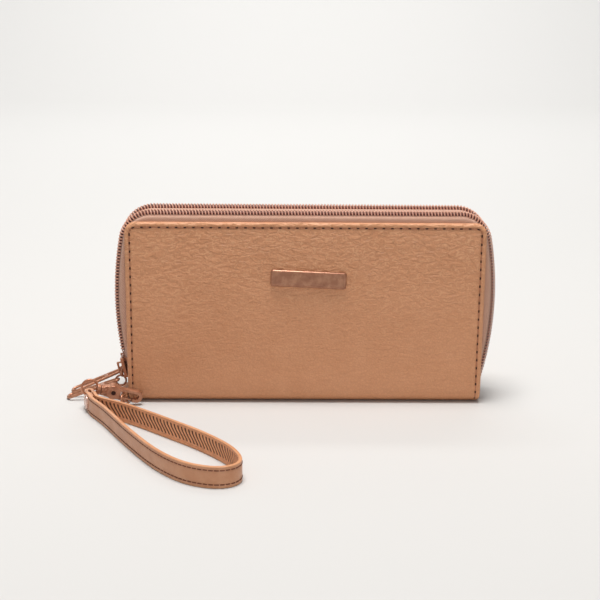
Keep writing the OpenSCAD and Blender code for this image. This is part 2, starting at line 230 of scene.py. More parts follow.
def box_profile(w: float, h: float, r: float, arc: int = 4) -> Array:
    """Rounded rectangle outline, w along the first axis and h along the second, about (0, 0)."""
    a = np.linspace(0, math.pi / 2, arc)
    corner = np.stack([np.cos(a), np.sin(a)], -1) * r
    x, y = w / 2 - r, h / 2 - r
    spots = ((x, y, 0), (-x, y, 90), (-x, -y, 180), (x, -y, 270))
    return np.concatenate([corner @ turn("z", -d)[:2, :2] + (cx, cy) for cx, cy, d in spots])


def sheet_profile(line: Array, thickness: float) -> Array:
    """Outline of a thin sheet that follows a line: the line offset to both sides."""
    t = unit(np.gradient(line, axis=0))
    n = np.stack([-t[:, 1], t[:, 0]], -1) * thickness / 2
    return np.concatenate([line + n, (line - n)[::-1]])


def tube(path: Array, radius: float, sides: int, ref: Array, ends: Ends) -> Shape:
    """Round wire along a path; ROUND ends taper as quarter circles over one radius.

    Args:
        path: Points of the wire's middle.
        radius: Wire radius.
        sides: Sides of its section.
        ref: Direction never along the path.
        ends: ROUND or JOINED.

    Returns:
        Vertices and faces.
    """
    if ends is Ends.JOINED:
        return sweep(path, ref, round_profile(radius, sides), True)
    a = np.radians([80, 50, 22])
    t0, t1 = unit(path[0] - path[1]), unit(path[-1] - path[-2])
    head = path[0] + np.sin(a)[:, None] * radius * t0
    tail = path[-1] + np.sin(a)[::-1, None] * radius * t1
    scale = np.concatenate([np.cos(a), np.ones(len(path)), np.cos(a)[::-1]])
    prof = round_profile(radius, sides)[None] * scale[:, None, None]
    return sweep(np.concatenate([head, path, tail]), ref, prof, False)


def scatter(verts: Array, faces: list, at: Array, axes: Array) -> Shape:
    """Copies of a small shape, each in its own frame.

    Args:
        verts: The shape's vertices in its own axes.
        faces: Its faces.
        at: One origin per copy.
        axes: Per copy, three rows: where the shape's x, y and z axes point.

    Returns:
        Vertices and faces of all copies.
    """
    out = at[:, None] + np.einsum("vk,nkj->nvj", verts, axes)
    shift = np.arange(len(at)) * len(verts)
    groups = {}
    for f in faces:
        groups.setdefault(len(f), []).append(f)
    all_faces = []
    for same in groups.values():
        block = np.array(same)[None] + shift[:, None, None]
        all_faces += block.reshape(-1, block.shape[-1]).tolist()
    return out.reshape(-1, 3), all_faces


def revolve(profile: Array, sides: int) -> Shape:
    """Turns (radius, height) points about the z axis; the ends are closed with caps."""
    xy = profile[:, None, :1] * round_profile(1.0, sides)[None]
    z = np.broadcast_to(profile[:, None, 1:], xy.shape[:2] + (1,))
    return np.concatenate([xy, z], -1).reshape(-1, 3), capped_grid(len(profile), sides)


def dash(half: float, radius: float, rise: float, curl: float) -> Shape:
    """One thread of a seam.

    Args:
        half: Half its length, along x.
        radius: Thread radius.
        rise: How far its middle stands up in z.
        curl: Share of a cosine wave, in radians, from its middle to an end.

    Returns:
        Vertices and faces.
    """
    t = np.linspace(-half, half, 4)
    line = np.stack([t, t * 0, rise * np.cos(t / half * curl)], -1)
    return tube(line, radius, 6, ALONG_Z, Ends.ROUND)


def join(parts: list[Shape]) -> Shape:
    """One vertex array and face list from several."""
    verts, faces, count = [], [], 0
    for v, f in parts:
        verts.append(v)
        faces += [[i + count for i in one] for one in f]
        count += len(v)
    return np.concatenate(verts), faces


def catmull(knots: Array, steps: int) -> Array:
    """Smooth curve through knots; the first and last knot only steer its ends."""
    a, b, c, d = knots[:-3], knots[1:-2], knots[2:-1], knots[3:]
    t = (np.arange(steps) / steps)[None, :, None]
    a, b, c, d = (k[:, None] for k in (a, b, c, d))
    p = 0.5 * (2 * b + (c - a) * t + (2 * a - 5 * b + 4 * c - d) * t**2
               + (3 * b - a - 3 * c + d) * t**3)
    return p.reshape(-1, knots.shape[1])


# ---------- meshes ----------


def make_piece(
    name: str,
    shape: Shape,
    finish: Material,
    uv: Array | None = None,
    smooth_angle: float = 40.0,
    tidy_normals: bool = True,
) -> Piece:
    """Makes a mesh object from millimetre vertices.

    Args:
        name: Piece name.
        shape: Vertices in millimetres and faces.
        finish: Its material.
        uv: One (u, v) per vertex, or None.
        smooth_angle: Edges sharper than this, in degrees, stay crisp.
        tidy_normals: Whether to point the faces outwards, for closed shells.

    Returns:
        The new object, at the origin.
    """
    verts, faces = shape
    mesh = bpy.data.meshes.new(name)
    mesh.from_pydata((verts * MM).tolist(), [], faces if isinstance(faces, list) else faces.tolist())
    if uv is not None:
        loops = np.zeros(len(mesh.loops), np.int32)
        mesh.loops.foreach_get("vertex_index", loops)
        mesh.uv_layers.new(name="UVMap").data.foreach_set("uv", uv[loops].astype(np.float32).ravel())
    if tidy_normals:
        bm = bmesh.new()
        bm.from_mesh(mesh)
        bmesh.ops.recalc_face_normals(bm, faces=bm.faces[:])
        bm.to_mesh(mesh)
        bm.free()
    mesh.shade_smooth()
    mesh.set_sharp_from_angle(angle=math.radians(smooth_angle))
    mesh.materials.append(finish)
    obj = bpy.data.objects.new(name, mesh)
    bpy.context.scene.collection.objects.link(obj)
    return obj


def cast_piece(name: str, node: Piece, voxel: float, rounds: int, finish: Material) -> Piece:
    """A softened copy of a node: merged, rebuilt on a fine grid and relaxed so that edges round.

    Args:
        name: Piece name.
        node: The CAD node's object.
        voxel: Grid size in millimetres.
        rounds: Relaxing passes.
        finish: Its material.

    Returns:
        The new object, with its modifiers applied.
    """
    mesh = node.data.copy()
    bm = bmesh.new()
    bm.from_mesh(mesh)
    bmesh.ops.remove_doubles(bm, verts=bm.verts[:], dist=2e-6)
    bm.to_mesh(mesh)
    bm.free()
    obj = bpy.data.objects.new(name, mesh)
    bpy.context.scene.collection.objects.link(obj)
    remesh = obj.modifiers.new("grid", "REMESH")
    remesh.mode, remesh.voxel_size, remesh.use_smooth_shade = "VOXEL", voxel * MM, True
    relax = obj.modifiers.new("relax", "SMOOTH")
    relax.factor, relax.iterations = 0.5, rounds
    evaluated = obj.evaluated_get(bpy.context.evaluated_depsgraph_get())
    final = bpy.data.meshes.new_from_object(evaluated)
    obj.modifiers.clear()
    obj.data = final
    final.name = name
    final.materials.clear()
    final.materials.append(finish)
    final.shade_smooth()
    return obj


def settle(obj: Piece, body: str, slot: str, *nodes: str) -> Piece:
    """Rides a finished piece on its body and hides the nodes it stands for."""
    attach(obj, body)
    if nodes:
        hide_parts(*nodes)
    LOG.info("%s: %d vertices on %s", obj.name, len(obj.data.vertices), body)
    return obj


# ---------- finishes ----------


def srgb(red: int, green: int, blue: int) -> tuple[float, float, float, float]:
    """Linear RGBA for a colour given as 0-255 screen values."""
    c = np.array([red, green, blue]) / 255
    lin = np.where(c <= 0.04045, c / 12.92, ((c + 0.055) / 1.055) ** 2.4)
    return (float(lin[0]), float(lin[1]), float(lin[2]), 1.0)


class Graph:
    """A material's node tree with short calls for the few node kinds used here."""

    def __init__(self, name: str, **shader: float | tuple) -> None:
        """Makes the material; shader gives fixed values by socket name, with _ for a space."""
        self.material = bpy.data.materials.new(name)
        self.material.use_nodes = True
        self.tree = self.material.node_tree
        self.shader = self.tree.nodes["Principled BSDF"]
        for key, value in shader.items():
            self.shader.inputs[key.replace("_", " ")].default_value = value
        self.coords = self.tree.nodes.new("ShaderNodeTexCoord")

    @property
    def place(self) -> Socket:
        """Object coordinates, in metres."""
        return self.coords.outputs["Object"]

    @property
    def uv(self) -> Socket:
        """The piece's own UV map, in millimetres along and across."""
        return self.coords.outputs["UV"]

    def put(self, socket: Socket, value: object) -> None:
        """Links a socket to another, or sets its value."""
        if isinstance(value, Socket):
            self.tree.links.new(value, socket)
        else:
            socket.default_value = value

    def mapped(self, vector: Socket, scale: tuple) -> Socket:
        """A vector scaled per axis."""
        n = self.tree.nodes.new("ShaderNodeMapping")
        self.put(n.inputs["Vector"], vector)
        n.inputs["Scale"].default_value = scale
        return n.outputs[0]

    def noise(self, vector: Socket, scale: float, detail: float = 3.0,
              rough: float = 0.5, twist: float = 0.0) -> Socket:
        """Noise value from 0 to 1."""
        n = self.tree.nodes.new("ShaderNodeTexNoise")
        self.put(n.inputs["Vector"], vector)
        for key, value in (("Scale", scale), ("Detail", detail), ("Roughness", rough),
                           ("Distortion", twist)):
            n.inputs[key].default_value = value
        return n.outputs["Fac"]

    def cells(self, vector: Socket, scale: float) -> Socket:
        """Distance to the nearest cell's edge."""
        n = self.tree.nodes.new("ShaderNodeTexVoronoi")
        n.feature = "DISTANCE_TO_EDGE"
        self.put(n.inputs["Vector"], vector)
        n.inputs["Scale"].default_value = scale
        return n.outputs["Distance"]

    def calc(self, kind: str, a: object, b: object = 0.5) -> Socket:
        """A Math node."""
        n = self.tree.nodes.new("ShaderNodeMath")
        n.operation = kind
        self.put(n.inputs[0], a)
        self.put(n.inputs[1], b)
        return n.outputs[0]

    def span(self, value: Socket, low: float, high: float,
             to_low: float = 0.0, to_high: float = 1.0) -> Socket:
        """Value mapped from low..high to to_low..to_high, smooth and clamped."""
        n = self.tree.nodes.new("ShaderNodeMapRange")
        n.interpolation_type = "SMOOTHSTEP"
        self.put(n.inputs["Value"], value)
        for key, v in (("From Min", low), ("From Max", high), ("To Min", to_low), ("To Max", to_high)):
            n.inputs[key].default_value = v
        return n.outputs["Result"]

    def mix(self, share: object, a: object, b: object) -> Socket:
        """Colour a where share is 0 and b where it is 1."""
        n = self.tree.nodes.new("ShaderNodeMix")
        n.data_type = "RGBA"
        self.put(n.inputs[0], share)
        self.put(n.inputs[6], a)
        self.put(n.inputs[7], b)
        return n.outputs[2]

    def parts(self, vector: Socket) -> tuple:
        """X, Y and Z of a vector."""
        n = self.tree.nodes.new("ShaderNodeSeparateXYZ")
        self.put(n.inputs[0], vector)
        return tuple(n.outputs)

    def bump(self, height: Socket, depth: float, strength: float = 1.0,
             under: Socket | None = None) -> Socket:
        """Normal from a height of 0 to 1 that stands for depth metres."""
        n = self.tree.nodes.new("ShaderNodeBump")
        n.inputs["Strength"].default_value = strength
        n.inputs["Distance"].default_value = depth
        self.put(n.inputs["Height"], height)
        if under is not None:
            self.put(n.inputs["Normal"], under)
        return n.outputs["Normal"]

    def done(self, colour: object = None, rough: object = None, normal: object = None) -> Material:
        """Connects the shader's colour, roughness and normal and returns the material."""
        for key, value in (("Base Color", colour), ("Roughness", rough), ("Normal", normal)):
            if value is not None:
                self.put(self.shader.inputs[key], value)
        return self.material


@dataclass(frozen=True)
class Leather:
    """Coated leather with pebble grain, soft creases and slight colour drift."""

    name: str
    base: tuple
    light: tuple
    # dark is the painted shade colour of the sunk edges between pebbles.
    dark: tuple
    # crest_highlight is the colour of the painted highlight lines on the crease contours.
    crest_highlight: tuple = srgb(236, 184, 142)
    grain: float = 1.5
    grain_depth: float = 0.00007
    crease_depth: float = 0.0021
    rough: float = 0.5

    def build(self) -> Material:
        """Pebbles are cells with sunk edges, darkened as painted shade; creases are a stretched noise
        with painted highlight lines along its contours.

        The creases' relief and their painted highlight lines both fade towards the foot of the wallet.
        """
        g = Graph(self.name, Specular_IOR_Level=0.45, Coat_Weight=0.08, Coat_Roughness=0.35)
        pebble = g.span(g.cells(g.place, 1000 / self.grain), 0.0, 0.22)
        fine = g.noise(g.place, 2600, 2.0)
        _, _, height = g.parts(g.place)
        # upper fades the crease relief and the painted highlight lines towards the foot.
        upper = g.span(height, 0.02, 0.095, 0.22, 1.0)
        wave = g.noise(g.mapped(g.place, (0.6, 1.0, 1.12)), 390, 1.5, 0.45, 0.9)
        off = g.calc("ABSOLUTE", g.calc("SUBTRACT", wave, 0.5))
        # line marks the crease contours that get the painted highlight.
        line = g.calc("MULTIPLY", g.calc("SUBTRACT", 1.0, g.span(off, 0.0, 0.036)), upper)
        ridge = g.calc("MULTIPLY", wave, upper)
        broad = g.noise(g.place, 22, 2.0)
        patch = g.noise(g.place, 60, 3.0, 0.6)
        share = g.calc("MULTIPLY", g.span(patch, 0.25, 0.75), 0.6)
        tone = g.mix(share, self.base, self.light)
        # Painted shade: the sunk edges between pebbles are darkened.
        sunk = g.calc("MULTIPLY", g.calc("SUBTRACT", 1.0, pebble), 0.16)
        tone = g.mix(sunk, tone, self.dark)
        # Painted highlight: pale lines along the crease contours, strongest near the top.
        tone = g.mix(g.calc("MULTIPLY", line, 0.45), tone, self.crest_highlight)
        shine = g.span(fine, 0.2, 0.8, self.rough - 0.07, self.rough + 0.09)
        normal = g.bump(broad, 0.0008, 0.7)
        normal = g.bump(ridge, self.crease_depth, 0.8, normal)
        normal = g.bump(g.calc("ADD", g.calc("MULTIPLY", pebble, 0.8), g.calc("MULTIPLY", fine, 0.2)),
                        self.grain_depth, 0.8, normal)
        return g.done(tone, shine, normal)


@dataclass(frozen=True)
class SmoothLeather:
    """Finely grained strap leather, or its painted edge."""

    name: str
    base: tuple
    light: tuple
    rough: float = 0.42
    grain_depth: float = 0.00003

    def build(self) -> Material:
        """Fine cell grain under a soft satin coat."""
        g = Graph(self.name, Specular_IOR_Level=0.5, Coat_Weight=0.15, Coat_Roughness=0.3)
        grain = g.span(g.cells(g.place, 1900), 0.0, 0.3)
        cloud = g.noise(g.place, 140, 3.0, 0.6)
        tone = g.mix(g.span(cloud, 0.3, 0.72), self.base, self.light)
        shine = g.span(g.noise(g.place, 900, 2.0), 0.3, 0.7, self.rough - 0.06, self.rough + 0.08)
        normal = g.bump(grain, self.grain_depth, 0.8, g.bump(cloud, 0.0002, 0.5))
        return g.done(tone, shine, normal)


@dataclass(frozen=True)
class Braid:
    """Braided leather face; the UV map's second number is 1 in the gaps between its strands."""

    name: str
    base: tuple
    gap_shade: tuple

    def build(self) -> Material:
        """Strands in a cloudy tan, gaps dark with painted shade, with a fine grain on both."""
        g = Graph(self.name, Specular_IOR_Level=0.45)
        # sunk is 1 in the gaps between the strands, which get the painted shade.
        _, sunk, _ = g.parts(g.uv)
        cloud = g.noise(g.place, 500, 3.0, 0.6)
        tone = g.mix(g.span(sunk, 0.12, 0.6), self.base, self.gap_shade)
        # The same gap shade colour also darkens random clouds on the strands.
        tone = g.mix(g.calc("MULTIPLY", g.span(cloud, 0.4, 0.8), 0.3), tone, self.gap_shade)
        return g.done(tone, 0.48, g.bump(cloud, 0.0001, 0.7))


@dataclass(frozen=True)
class Weave:
    """Woven cloth on Object coordinates: two crossing sets of threads."""

    name: str
    base: tuple
    dark: tuple
    pitch: float = 0.5

    def build(self) -> Material:
        """Thread height is the larger of two sine ribs, one along X + Y and one along Z."""
        g = Graph(self.name, Specular_IOR_Level=0.25, Sheen_Weight=0.25, Sheen_Roughness=0.5)
        x, y, z = g.parts(g.place)
        rate = 2 * math.pi / (self.pitch * MM)
        warp = g.calc("SINE", g.calc("MULTIPLY", g.calc("ADD", x, y), rate))
        weft = g.calc("SINE", g.calc("MULTIPLY", z, rate))
        height = g.span(g.calc("MAXIMUM", warp, weft), -0.6, 1.0)
        fuzz = g.noise(g.place, 1500, 3.0, 0.6)
        tone = g.mix(g.calc("MULTIPLY", height, g.span(fuzz, 0.1, 0.8)), self.dark, self.base)
        return g.done(tone, 0.85, g.bump(height, 0.0001, 0.9))


@dataclass(frozen=True)
class Twill:
    """Zip tape: slanted ribs on the piece's UV map, which is in millimetres."""

    name: str
    base: tuple
    dark: tuple
    pitch: float = 0.9

    def build(self) -> Material:
        """Ribs run at 45 degrees to the tape, with a finer cross thread on them."""
        g = Graph(self.name, Specular_IOR_Level=0.3, Sheen_Weight=0.3, Sheen_Roughness=0.45)
        u, v, _ = g.parts(g.uv)
        rate = 2 * math.pi / self.pitch
        rib = g.calc("SINE", g.calc("MULTIPLY", g.calc("ADD", u, v), rate))
        cross = g.calc("SINE", g.calc("MULTIPLY", u, rate * 2.3))
        height = g.span(g.calc("ADD", rib, g.calc("MULTIPLY", cross, 0.35)), -1.2, 1.2)
        fuzz = g.noise(g.place, 700, 3.0, 0.6)
        share = g.calc("MULTIPLY", height, g.span(fuzz, 0.1, 0.7, 0.6, 1.0))
        return g.done(g.mix(share, self.dark, self.base), 0.8, g.bump(height, 0.00012, 0.9))


@dataclass(frozen=True)
class Nylon:
    """Dyed nylon of the zip coil."""

    name: str
    base: tuple
    light: tuple

    def build(self) -> Material:
        """Satin plastic with slight drift of colour along the chain."""
        g = Graph(self.name, Specular_IOR_Level=0.5)
        cloud = g.noise(g.place, 350, 3.0, 0.6)
        tone = g.mix(g.span(cloud, 0.3, 0.75), self.base, self.light)
        return g.done(tone, g.span(cloud, 0.2, 0.8, 0.34, 0.5), g.bump(cloud, 0.00005, 0.5))


@dataclass(frozen=True)
class Lacquer:
    """Lacquered die-cast metal, satin, with a lighter tone in random clouds."""

    name: str
    base: tuple
    light: tuple
    metal: float = 0.55
    rough: float = 0.33

    def build(self) -> Material:
        """Cloudy lacquer tone, fine orange-peel and a soft coat."""
        g = Graph(self.name, Metallic=self.metal, Coat_Weight=0.35, Coat_Roughness=0.22)
        cloud = g.noise(g.place, 260, 4.0, 0.6)
        peel = g.noise(g.place, 1800, 2.0)
        tone = g.mix(g.span(cloud, 0.35, 0.7), self.base, self.light)
        shine = g.span(cloud, 0.2, 0.8, self.rough - 0.07, self.rough + 0.1)
        return g.done(tone, shine, g.bump(peel, 0.000015, 0.7))


@dataclass(frozen=True)
class Plain:
    """Board or thread: a matt surface with fibres."""

    name: str
    base: tuple
    dark: tuple
    fibre: float = 1200.0

    def build(self) -> Material:
        """Stretched noise as fibres in colour and relief."""
        g = Graph(self.name, Specular_IOR_Level=0.3)
        fibre = g.noise(g.mapped(g.place, (1.0, 1.0, 0.4)), self.fibre, 3.0, 0.6)
        tone = g.mix(g.span(fibre, 0.3, 0.7), self.dark, self.base)
        return g.done(tone, 0.72, g.bump(fibre, 0.00005, 0.7))


@dataclass(frozen=True)
class Backdrop:
    """Pale paper of the floor and the wall behind."""

    name: str = "backdrop_paper"
    base: tuple = srgb(207, 206, 204)

    def build(self) -> Material:
        """Matt paper with a trace of tooth."""
        g = Graph(self.name, Specular_IOR_Level=0.1, Base_Color=self.base)
        return g.done(None, 0.9, g.bump(g.noise(g.place, 300, 2.0), 0.00002, 0.3))


@dataclass
class Palette:
    """Every material of the wallet, built once."""

    def __post_init__(self) -> None:
        """Builds the materials from their finishes."""
        # pebble_shade is painted shade for the sunk edges between pebbles.
        tan, pale, pebble_shade = srgb(207, 145, 103), srgb(215, 154, 113), srgb(158, 104, 72)
        self.leather = Leather("pebbled_tan_leather", tan, pale, pebble_shade).build()
        self.strap = SmoothLeather("strap_tan_leather", srgb(191, 130, 91), srgb(202, 145, 108)).build()
        self.edge = SmoothLeather(
            "strap_edge_paint", srgb(204, 142, 99), srgb(215, 156, 114), 0.36).build()
        # The braid's second colour is painted shade for the gaps between its strands.
        self.braid = Braid("strap_braided_face", srgb(230, 164, 120), srgb(66, 32, 22)).build()
        self.lining = Weave("lining_cloth", srgb(176, 128, 112), srgb(120, 78, 66)).build()
        self.tape = Twill("zip_tape_twill", srgb(230, 190, 166), srgb(160, 112, 94)).build()
        self.coil = Nylon("zip_coil_nylon", srgb(202, 146, 122), srgb(218, 166, 142)).build()
        # Painted shade: the core's dark colour stands for shade in the gaps between the coil loops.
        self.core = Nylon("zip_coil_gap_shade", srgb(84, 30, 20), srgb(100, 42, 30)).build()
        self.metal = Lacquer("rose_tan_lacquer", srgb(172, 114, 84), srgb(194, 138, 107)).build()
        self.badge = Lacquer("badge_lacquer", srgb(148, 98, 72), srgb(176, 126, 96)).build()
        self.rivet = Lacquer("rivet_lacquer", srgb(205, 165, 148), srgb(224, 190, 174), 0.6, 0.28).build()
        self.board = Plain("stiff_board", srgb(150, 106, 84), srgb(124, 84, 66)).build()
        self.thread = Plain("sewing_thread", srgb(194, 138, 106), srgb(150, 98, 74), 2500.0).build()
        self.strap_thread = Plain(
            "strap_sewing_thread", srgb(122, 74, 54), srgb(90, 52, 38), 2500.0).build()
        # Painted shade: dark colour for the needle holes and the clasp's hollow pin ends.
        self.hole = Plain("needle_hole_shade", srgb(70, 36, 26), srgb(48, 24, 18), 2500.0).build()


# ---------- covers ----------


# Distances of the outer columns from the cover's sides, close together over the rim and the seam.
SIDE_STEPS = np.array([0, 0.03, 0.12, 0.28, 0.5, 0.8, 1.15, 1.55, 2.0, 2.35, 2.7, 3.05, 3.4, 3.9,
                       4.6, 5.6, 7.0])
MIDDLE_COLUMNS = 119
# Rows behind the outline: share of the way to the inner face, and inset in millimetres.
RIM_ROWS = ((0.35, 0.0), (0.75, 0.02), (1.0, 0.5))


@dataclass
class Covers:
    """Leather skins of the front, back and spine, with their sewn borders."""

    palette: Palette
    half_w: float = 95.0
    top: float = 99.0
    face_y: float = 15.0
    back_y: float = 12.7
    corner: float = 6.0
    spine_r: float = 8.0
    edge_r: float = 1.1
    seam_inset: float = 2.7
    seam_low: float = 2.6
    stitch: float = 4.5

    def half_at(self, z: Array, inset: float = 0.0) -> Array:
        """Half width of the cover's outline at each height: straight, then a quarter circle."""
        r = self.corner - inset
        rise = np.clip(z - (self.top - self.corner), 0, r)
        return self.half_w - self.corner + np.sqrt(np.maximum(r**2 - rise**2, 0))

    def edge_distance(self, x: Array, z: Array) -> Array:
        """Distance to the cover's outline at the sides, the top and the rounded corners."""
        dx = np.abs(x) - (self.half_w - self.corner)
        dz = z - (self.top - self.corner)
        round_part = self.corner - np.hypot(np.maximum(dx, 0), np.maximum(dz, 0))
        return np.where((dx > 0) & (dz > 0), round_part,
                        np.minimum(self.half_w - np.abs(x), self.top - z))

    def relief(self, x: Array, z: Array) -> Array:
        """How far the face stands out: rounded rim, raised border, seam groove and soft swell."""
        d = self.edge_distance(x, z)
        border = 0.28 * bell(d, 1.6, 0.9)
        groove = 0.32 * bell(d, self.seam_inset, 0.55)
        swell = 0.35 * (1 - np.exp(-np.maximum(d - self.seam_inset, 0) / 5.0))
        drift = 0.10 * np.sin(x / 17.0 + 1.3) * np.sin(z / 13.0 + 0.4)
        drift = drift + 0.06 * np.sin(x / 7.3 + z / 9.1)
        inner = ramp(d, self.seam_inset, self.seam_inset + 8.0)
        return -self.rim_drop(d) + border - groove + swell + drift * inner

    def rim_drop(self, d: Array) -> Array:
        """How far the rounded rim falls away at a distance from the outline."""
        reach = np.clip(self.edge_r - d, 0, self.edge_r)
        return self.edge_r - np.sqrt(np.maximum(self.edge_r**2 - reach**2, 0))

    def section_rows(self) -> tuple[Array, Array, Array]:
        """Rows of the skin from the middle of the underside to the top edge.

        Returns:
            Per row: distance out from the middle plane, height, and 1 on the flat cover
            fading to 0 round the spine.
        """
        flat = np.linspace(0, self.face_y - self.spine_r, 5)[:-1]
        a = np.radians(np.linspace(0, 90, 15))
        bend_y = self.face_y - self.spine_r + self.spine_r * np.sin(a)
        bend_z = self.spine_r * (1 - np.cos(a))
        wall = np.linspace(self.spine_r, self.top - self.corner, 70)[1:-1]
        arc = self.top - self.corner + self.corner * np.sin(np.radians(np.linspace(0, 90, 22)))
        out = np.concatenate([flat, bend_y, np.full(len(wall) + len(arc), self.face_y)])
        up = np.concatenate([flat * 0, bend_z, wall, arc])
        flatness = ramp(up, 5.0, 13.0)
        return out, up, flatness

    def face_grid(self, side: Side) -> Array:
        """Points of the face, as rows up the section by columns across.

        A column's x is a fixed share of the outline's half width, so that the columns follow
        the rounded corners.
        """
        out, up, flatness = self.section_rows()
        near = SIDE_STEPS / self.half_w
        middle = np.linspace(-(1 - near[-1]), 1 - near[-1], MIDDLE_COLUMNS + 2)[1:-1]
        share = np.concatenate([-1 + near, middle, (1 - near)[::-1]])
        x = self.half_at(up)[:, None] * share[None]
        z = np.broadcast_to(up[:, None], x.shape)
        lift = self.relief(x, z) * flatness[:, None]
        side_rim = self.rim_drop((1 - np.abs(share)) * self.half_w)
        lift = lift - side_rim[None] * (1 - flatness[:, None])
        lean = self.lean_at(up)[:, None]
        y = out[:, None] + lift * np.sin(lean)
        return np.stack([x, side.value * y, z - lift * np.cos(lean)], -1)

    def turned_rim(self, rim: Array, side: Side) -> list[Array]:
        """Copies of the outline's points that run back from the face to the inner face."""
        at_side = np.abs(rim[:, 0]) > self.half_w - SIDE_STEPS[-1]
        at_top = rim[:, 2] > self.top - self.corner
        pull_x = -np.sign(rim[:, 0]) * at_side
        inward = np.stack([pull_x, pull_x * 0, -at_top.astype(float)], -1)
        depth = side.value * np.minimum(np.abs(rim[:, 1]), self.back_y)
        low = rim[:, 2] < self.spine_r
        rise = 1.1 * np.clip(1 - rim[low, 2] / self.spine_r, -1, 1)
        steps = []
        for share, pull in RIM_ROWS:
            ring = rim + inward * pull
            ring[:, 1] = rim[:, 1] + (depth - rim[:, 1]) * share
            ring[low, 2] = rim[low, 2] + rise * share
            steps.append(ring)
        return steps

    def skin(self, side: Side) -> None:
        """One cover's leather with its half of the spine, as an open shell with a turned rim."""
        face = self.face_grid(side)
        rows, cols = face.shape[:2]
        verts = face.reshape(-1, 3)
        left = np.arange(rows) * cols
        top = (rows - 1) * cols + np.arange(1, cols)
        loop = np.concatenate([left, top, left[-2::-1] + cols - 1])
        steps = self.turned_rim(verts[loop], side)
        ids = np.concatenate([loop, len(verts) + np.arange(len(steps) * len(loop))])
        strip = ids[grid_quads(len(steps) + 1, len(loop))]
        faces = grid_quads(rows, cols).tolist() + strip.tolist()
        obj = make_piece(f"{side.word}_skin", (np.concatenate([verts, *steps]), faces),
                         self.palette.leather, smooth_angle=60, tidy_normals=False)
        self.face_out(obj, side)
        self.hinge(obj, side)
        if side is Side.FRONT:
            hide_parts("front_leather", "spine_leather")
        else:
            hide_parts("back_leather")

    def hinge(self, obj: Piece, side: Side) -> None:
        """Bakes a piece's transform into its mesh and logs its vertex count."""
        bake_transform(obj)
        LOG.info("%s: %d vertices on core and %s", obj.name, len(obj.data.vertices), side.cover)

    def face_out(self, obj: Piece, side: Side) -> None:
        """Flips the skin if its middle faces look inwards."""
        mesh = obj.data
        total = sum(p.normal.y * side.value * p.area for p in mesh.polygons)
        if total < 0:
            mesh.flip_normals()

    def seam_path(self, side: Side) -> Array:
        """Seam line on the face: up the left, round the corners, along the top, down the right."""
        inset = self.seam_inset
        r = self.corner - inset
        a = np.radians(np.linspace(180, 90, 9))
        cx, cz = self.half_w - self.corner, self.top - self.corner
        left = np.stack([-cx + r * np.cos(a), cz + r * np.sin(a)], -1)
        right = left[::-1] * (-1, 1)
        foot_z = np.concatenate([np.linspace(self.seam_low, self.spine_r, 9), [self.spine_r + 1]])
        foot = np.stack([np.full(len(foot_z), -(self.half_w - inset)), foot_z], -1)
        line = np.concatenate([foot, left, right, foot[::-1] * (-1, 1)])
        reach = self.face_y - self.spine_r + self.spine_r * np.sin(self.lean_at(line[:, 1])) - 0.1
        return np.stack([line[:, 0], side.value * reach, line[:, 1]], -1)

    def lean_at(self, z: Array) -> Array:
        """Angle of the skin's section from the floor: 0 under the spine, a right angle on the wall."""
        return np.arccos(1 - np.clip(z / self.spine_r, 0, 1))

    def seams(self, side: Side) -> None:
        """Threads and the needle holes between them, copied along the seam; the holes are dark pieces
        coloured as painted shade.
        """
        path = self.seam_path(side)
        whole = path_length(path)
        count = int(whole / self.stitch)
        middles = (np.arange(count) + 0.5) * whole / count
        # needle_holes are dark pieces whose colour is painted shade inside the holes.
        for name, half, radius, offset, finish, sink in (
            ("thread", 1.5, 0.27, 0.0, self.palette.thread, 0.02),
            ("needle_holes", 0.5, 0.42, self.stitch / 2, self.palette.hole, -0.10),
        ):
            at = resample(path, middles + offset)
            ahead = heading(path, middles + offset)
            lean = self.lean_at(at[:, 2])
            out = np.stack([lean * 0, side.value * np.sin(lean), -np.cos(lean)], -1)
            axes = np.stack([ahead, np.cross(out, ahead), out], 1)
            shape = scatter(*dash(half, radius, 0.10, 1.5), at + out * sink, axes)
            obj = make_piece(f"{side.word}_{name}", shape, finish)
            self.hinge(obj, side)

    def build(self) -> None:
        """Both covers."""
        for side in Side:
            self.skin(side)
            self.seams(side)


# ---------- badge ----------


@dataclass
class Badge:
    """Plain bevelled bar on the front cover."""

    palette: Palette
    middle: tuple = (1.5, -15.0, 69.0)
    width: float = 40.0
    height: float = 9.0
    tilt: float = 2.5

    def build(self) -> None:
        """Stacked rounded outlines from the leather up: wall, bevel, rim, shallow sunk field."""
        levels = [(0.0, -0.3), (0.0, 0.85), (0.12, 1.2), (0.45, 1.6), (0.8, 1.78), (1.1, 1.8),
                  (1.35, 1.74), (1.6, 1.5), (1.8, 1.42), (2.4, 1.4)]
        rings = []
        for inset, up in levels:
            flat = box_profile(self.width - 2 * inset, self.height - 2 * inset,
                               max(1.3 - inset * 0.4, 0.3), 5)
            rings.append(np.stack([flat[:, 0], np.full(len(flat), -up), flat[:, 1]], -1))
        faces = capped_grid(len(rings), len(rings[0]))
        verts = np.concatenate(rings) @ turn("y", self.tilt).T + self.middle - ALONG_Y * 0.25
        obj = make_piece("badge_bar", (verts, faces), self.palette.badge)
        settle(obj, "front_cover", "metal", "badge_plate")


# ---------- zips ----------


TAPE_THICK = 0.5


def along_chain(at: Array, out: Array, profile: Array) -> Shape:
    """Carries an outline along a chain's stations.

    Args:
        at: Points on the chain's middle line, one millimetre or so apart.
        out: Outward direction at each.
        profile: Outline as (height along the outward direction, y) points.

    Returns:
        Vertices and faces of a capped tube.
    """
    world = at[:, None] + profile[None, :, :1] * out[:, None] + profile[None, :, 1:] * ALONG_Y
    return world.reshape(-1, 3), capped_grid(len(at), len(profile))


def cloth_uv(rows: int, outline: Array) -> Array:
    """UV in millimetres of tape with outlines 1 mm apart: along it, and round its outline."""
    both = np.broadcast_arrays(np.arange(rows)[:, None] * 1.0, distances(outline)[None])
    return np.stack(both, -1).reshape(-1, 2)


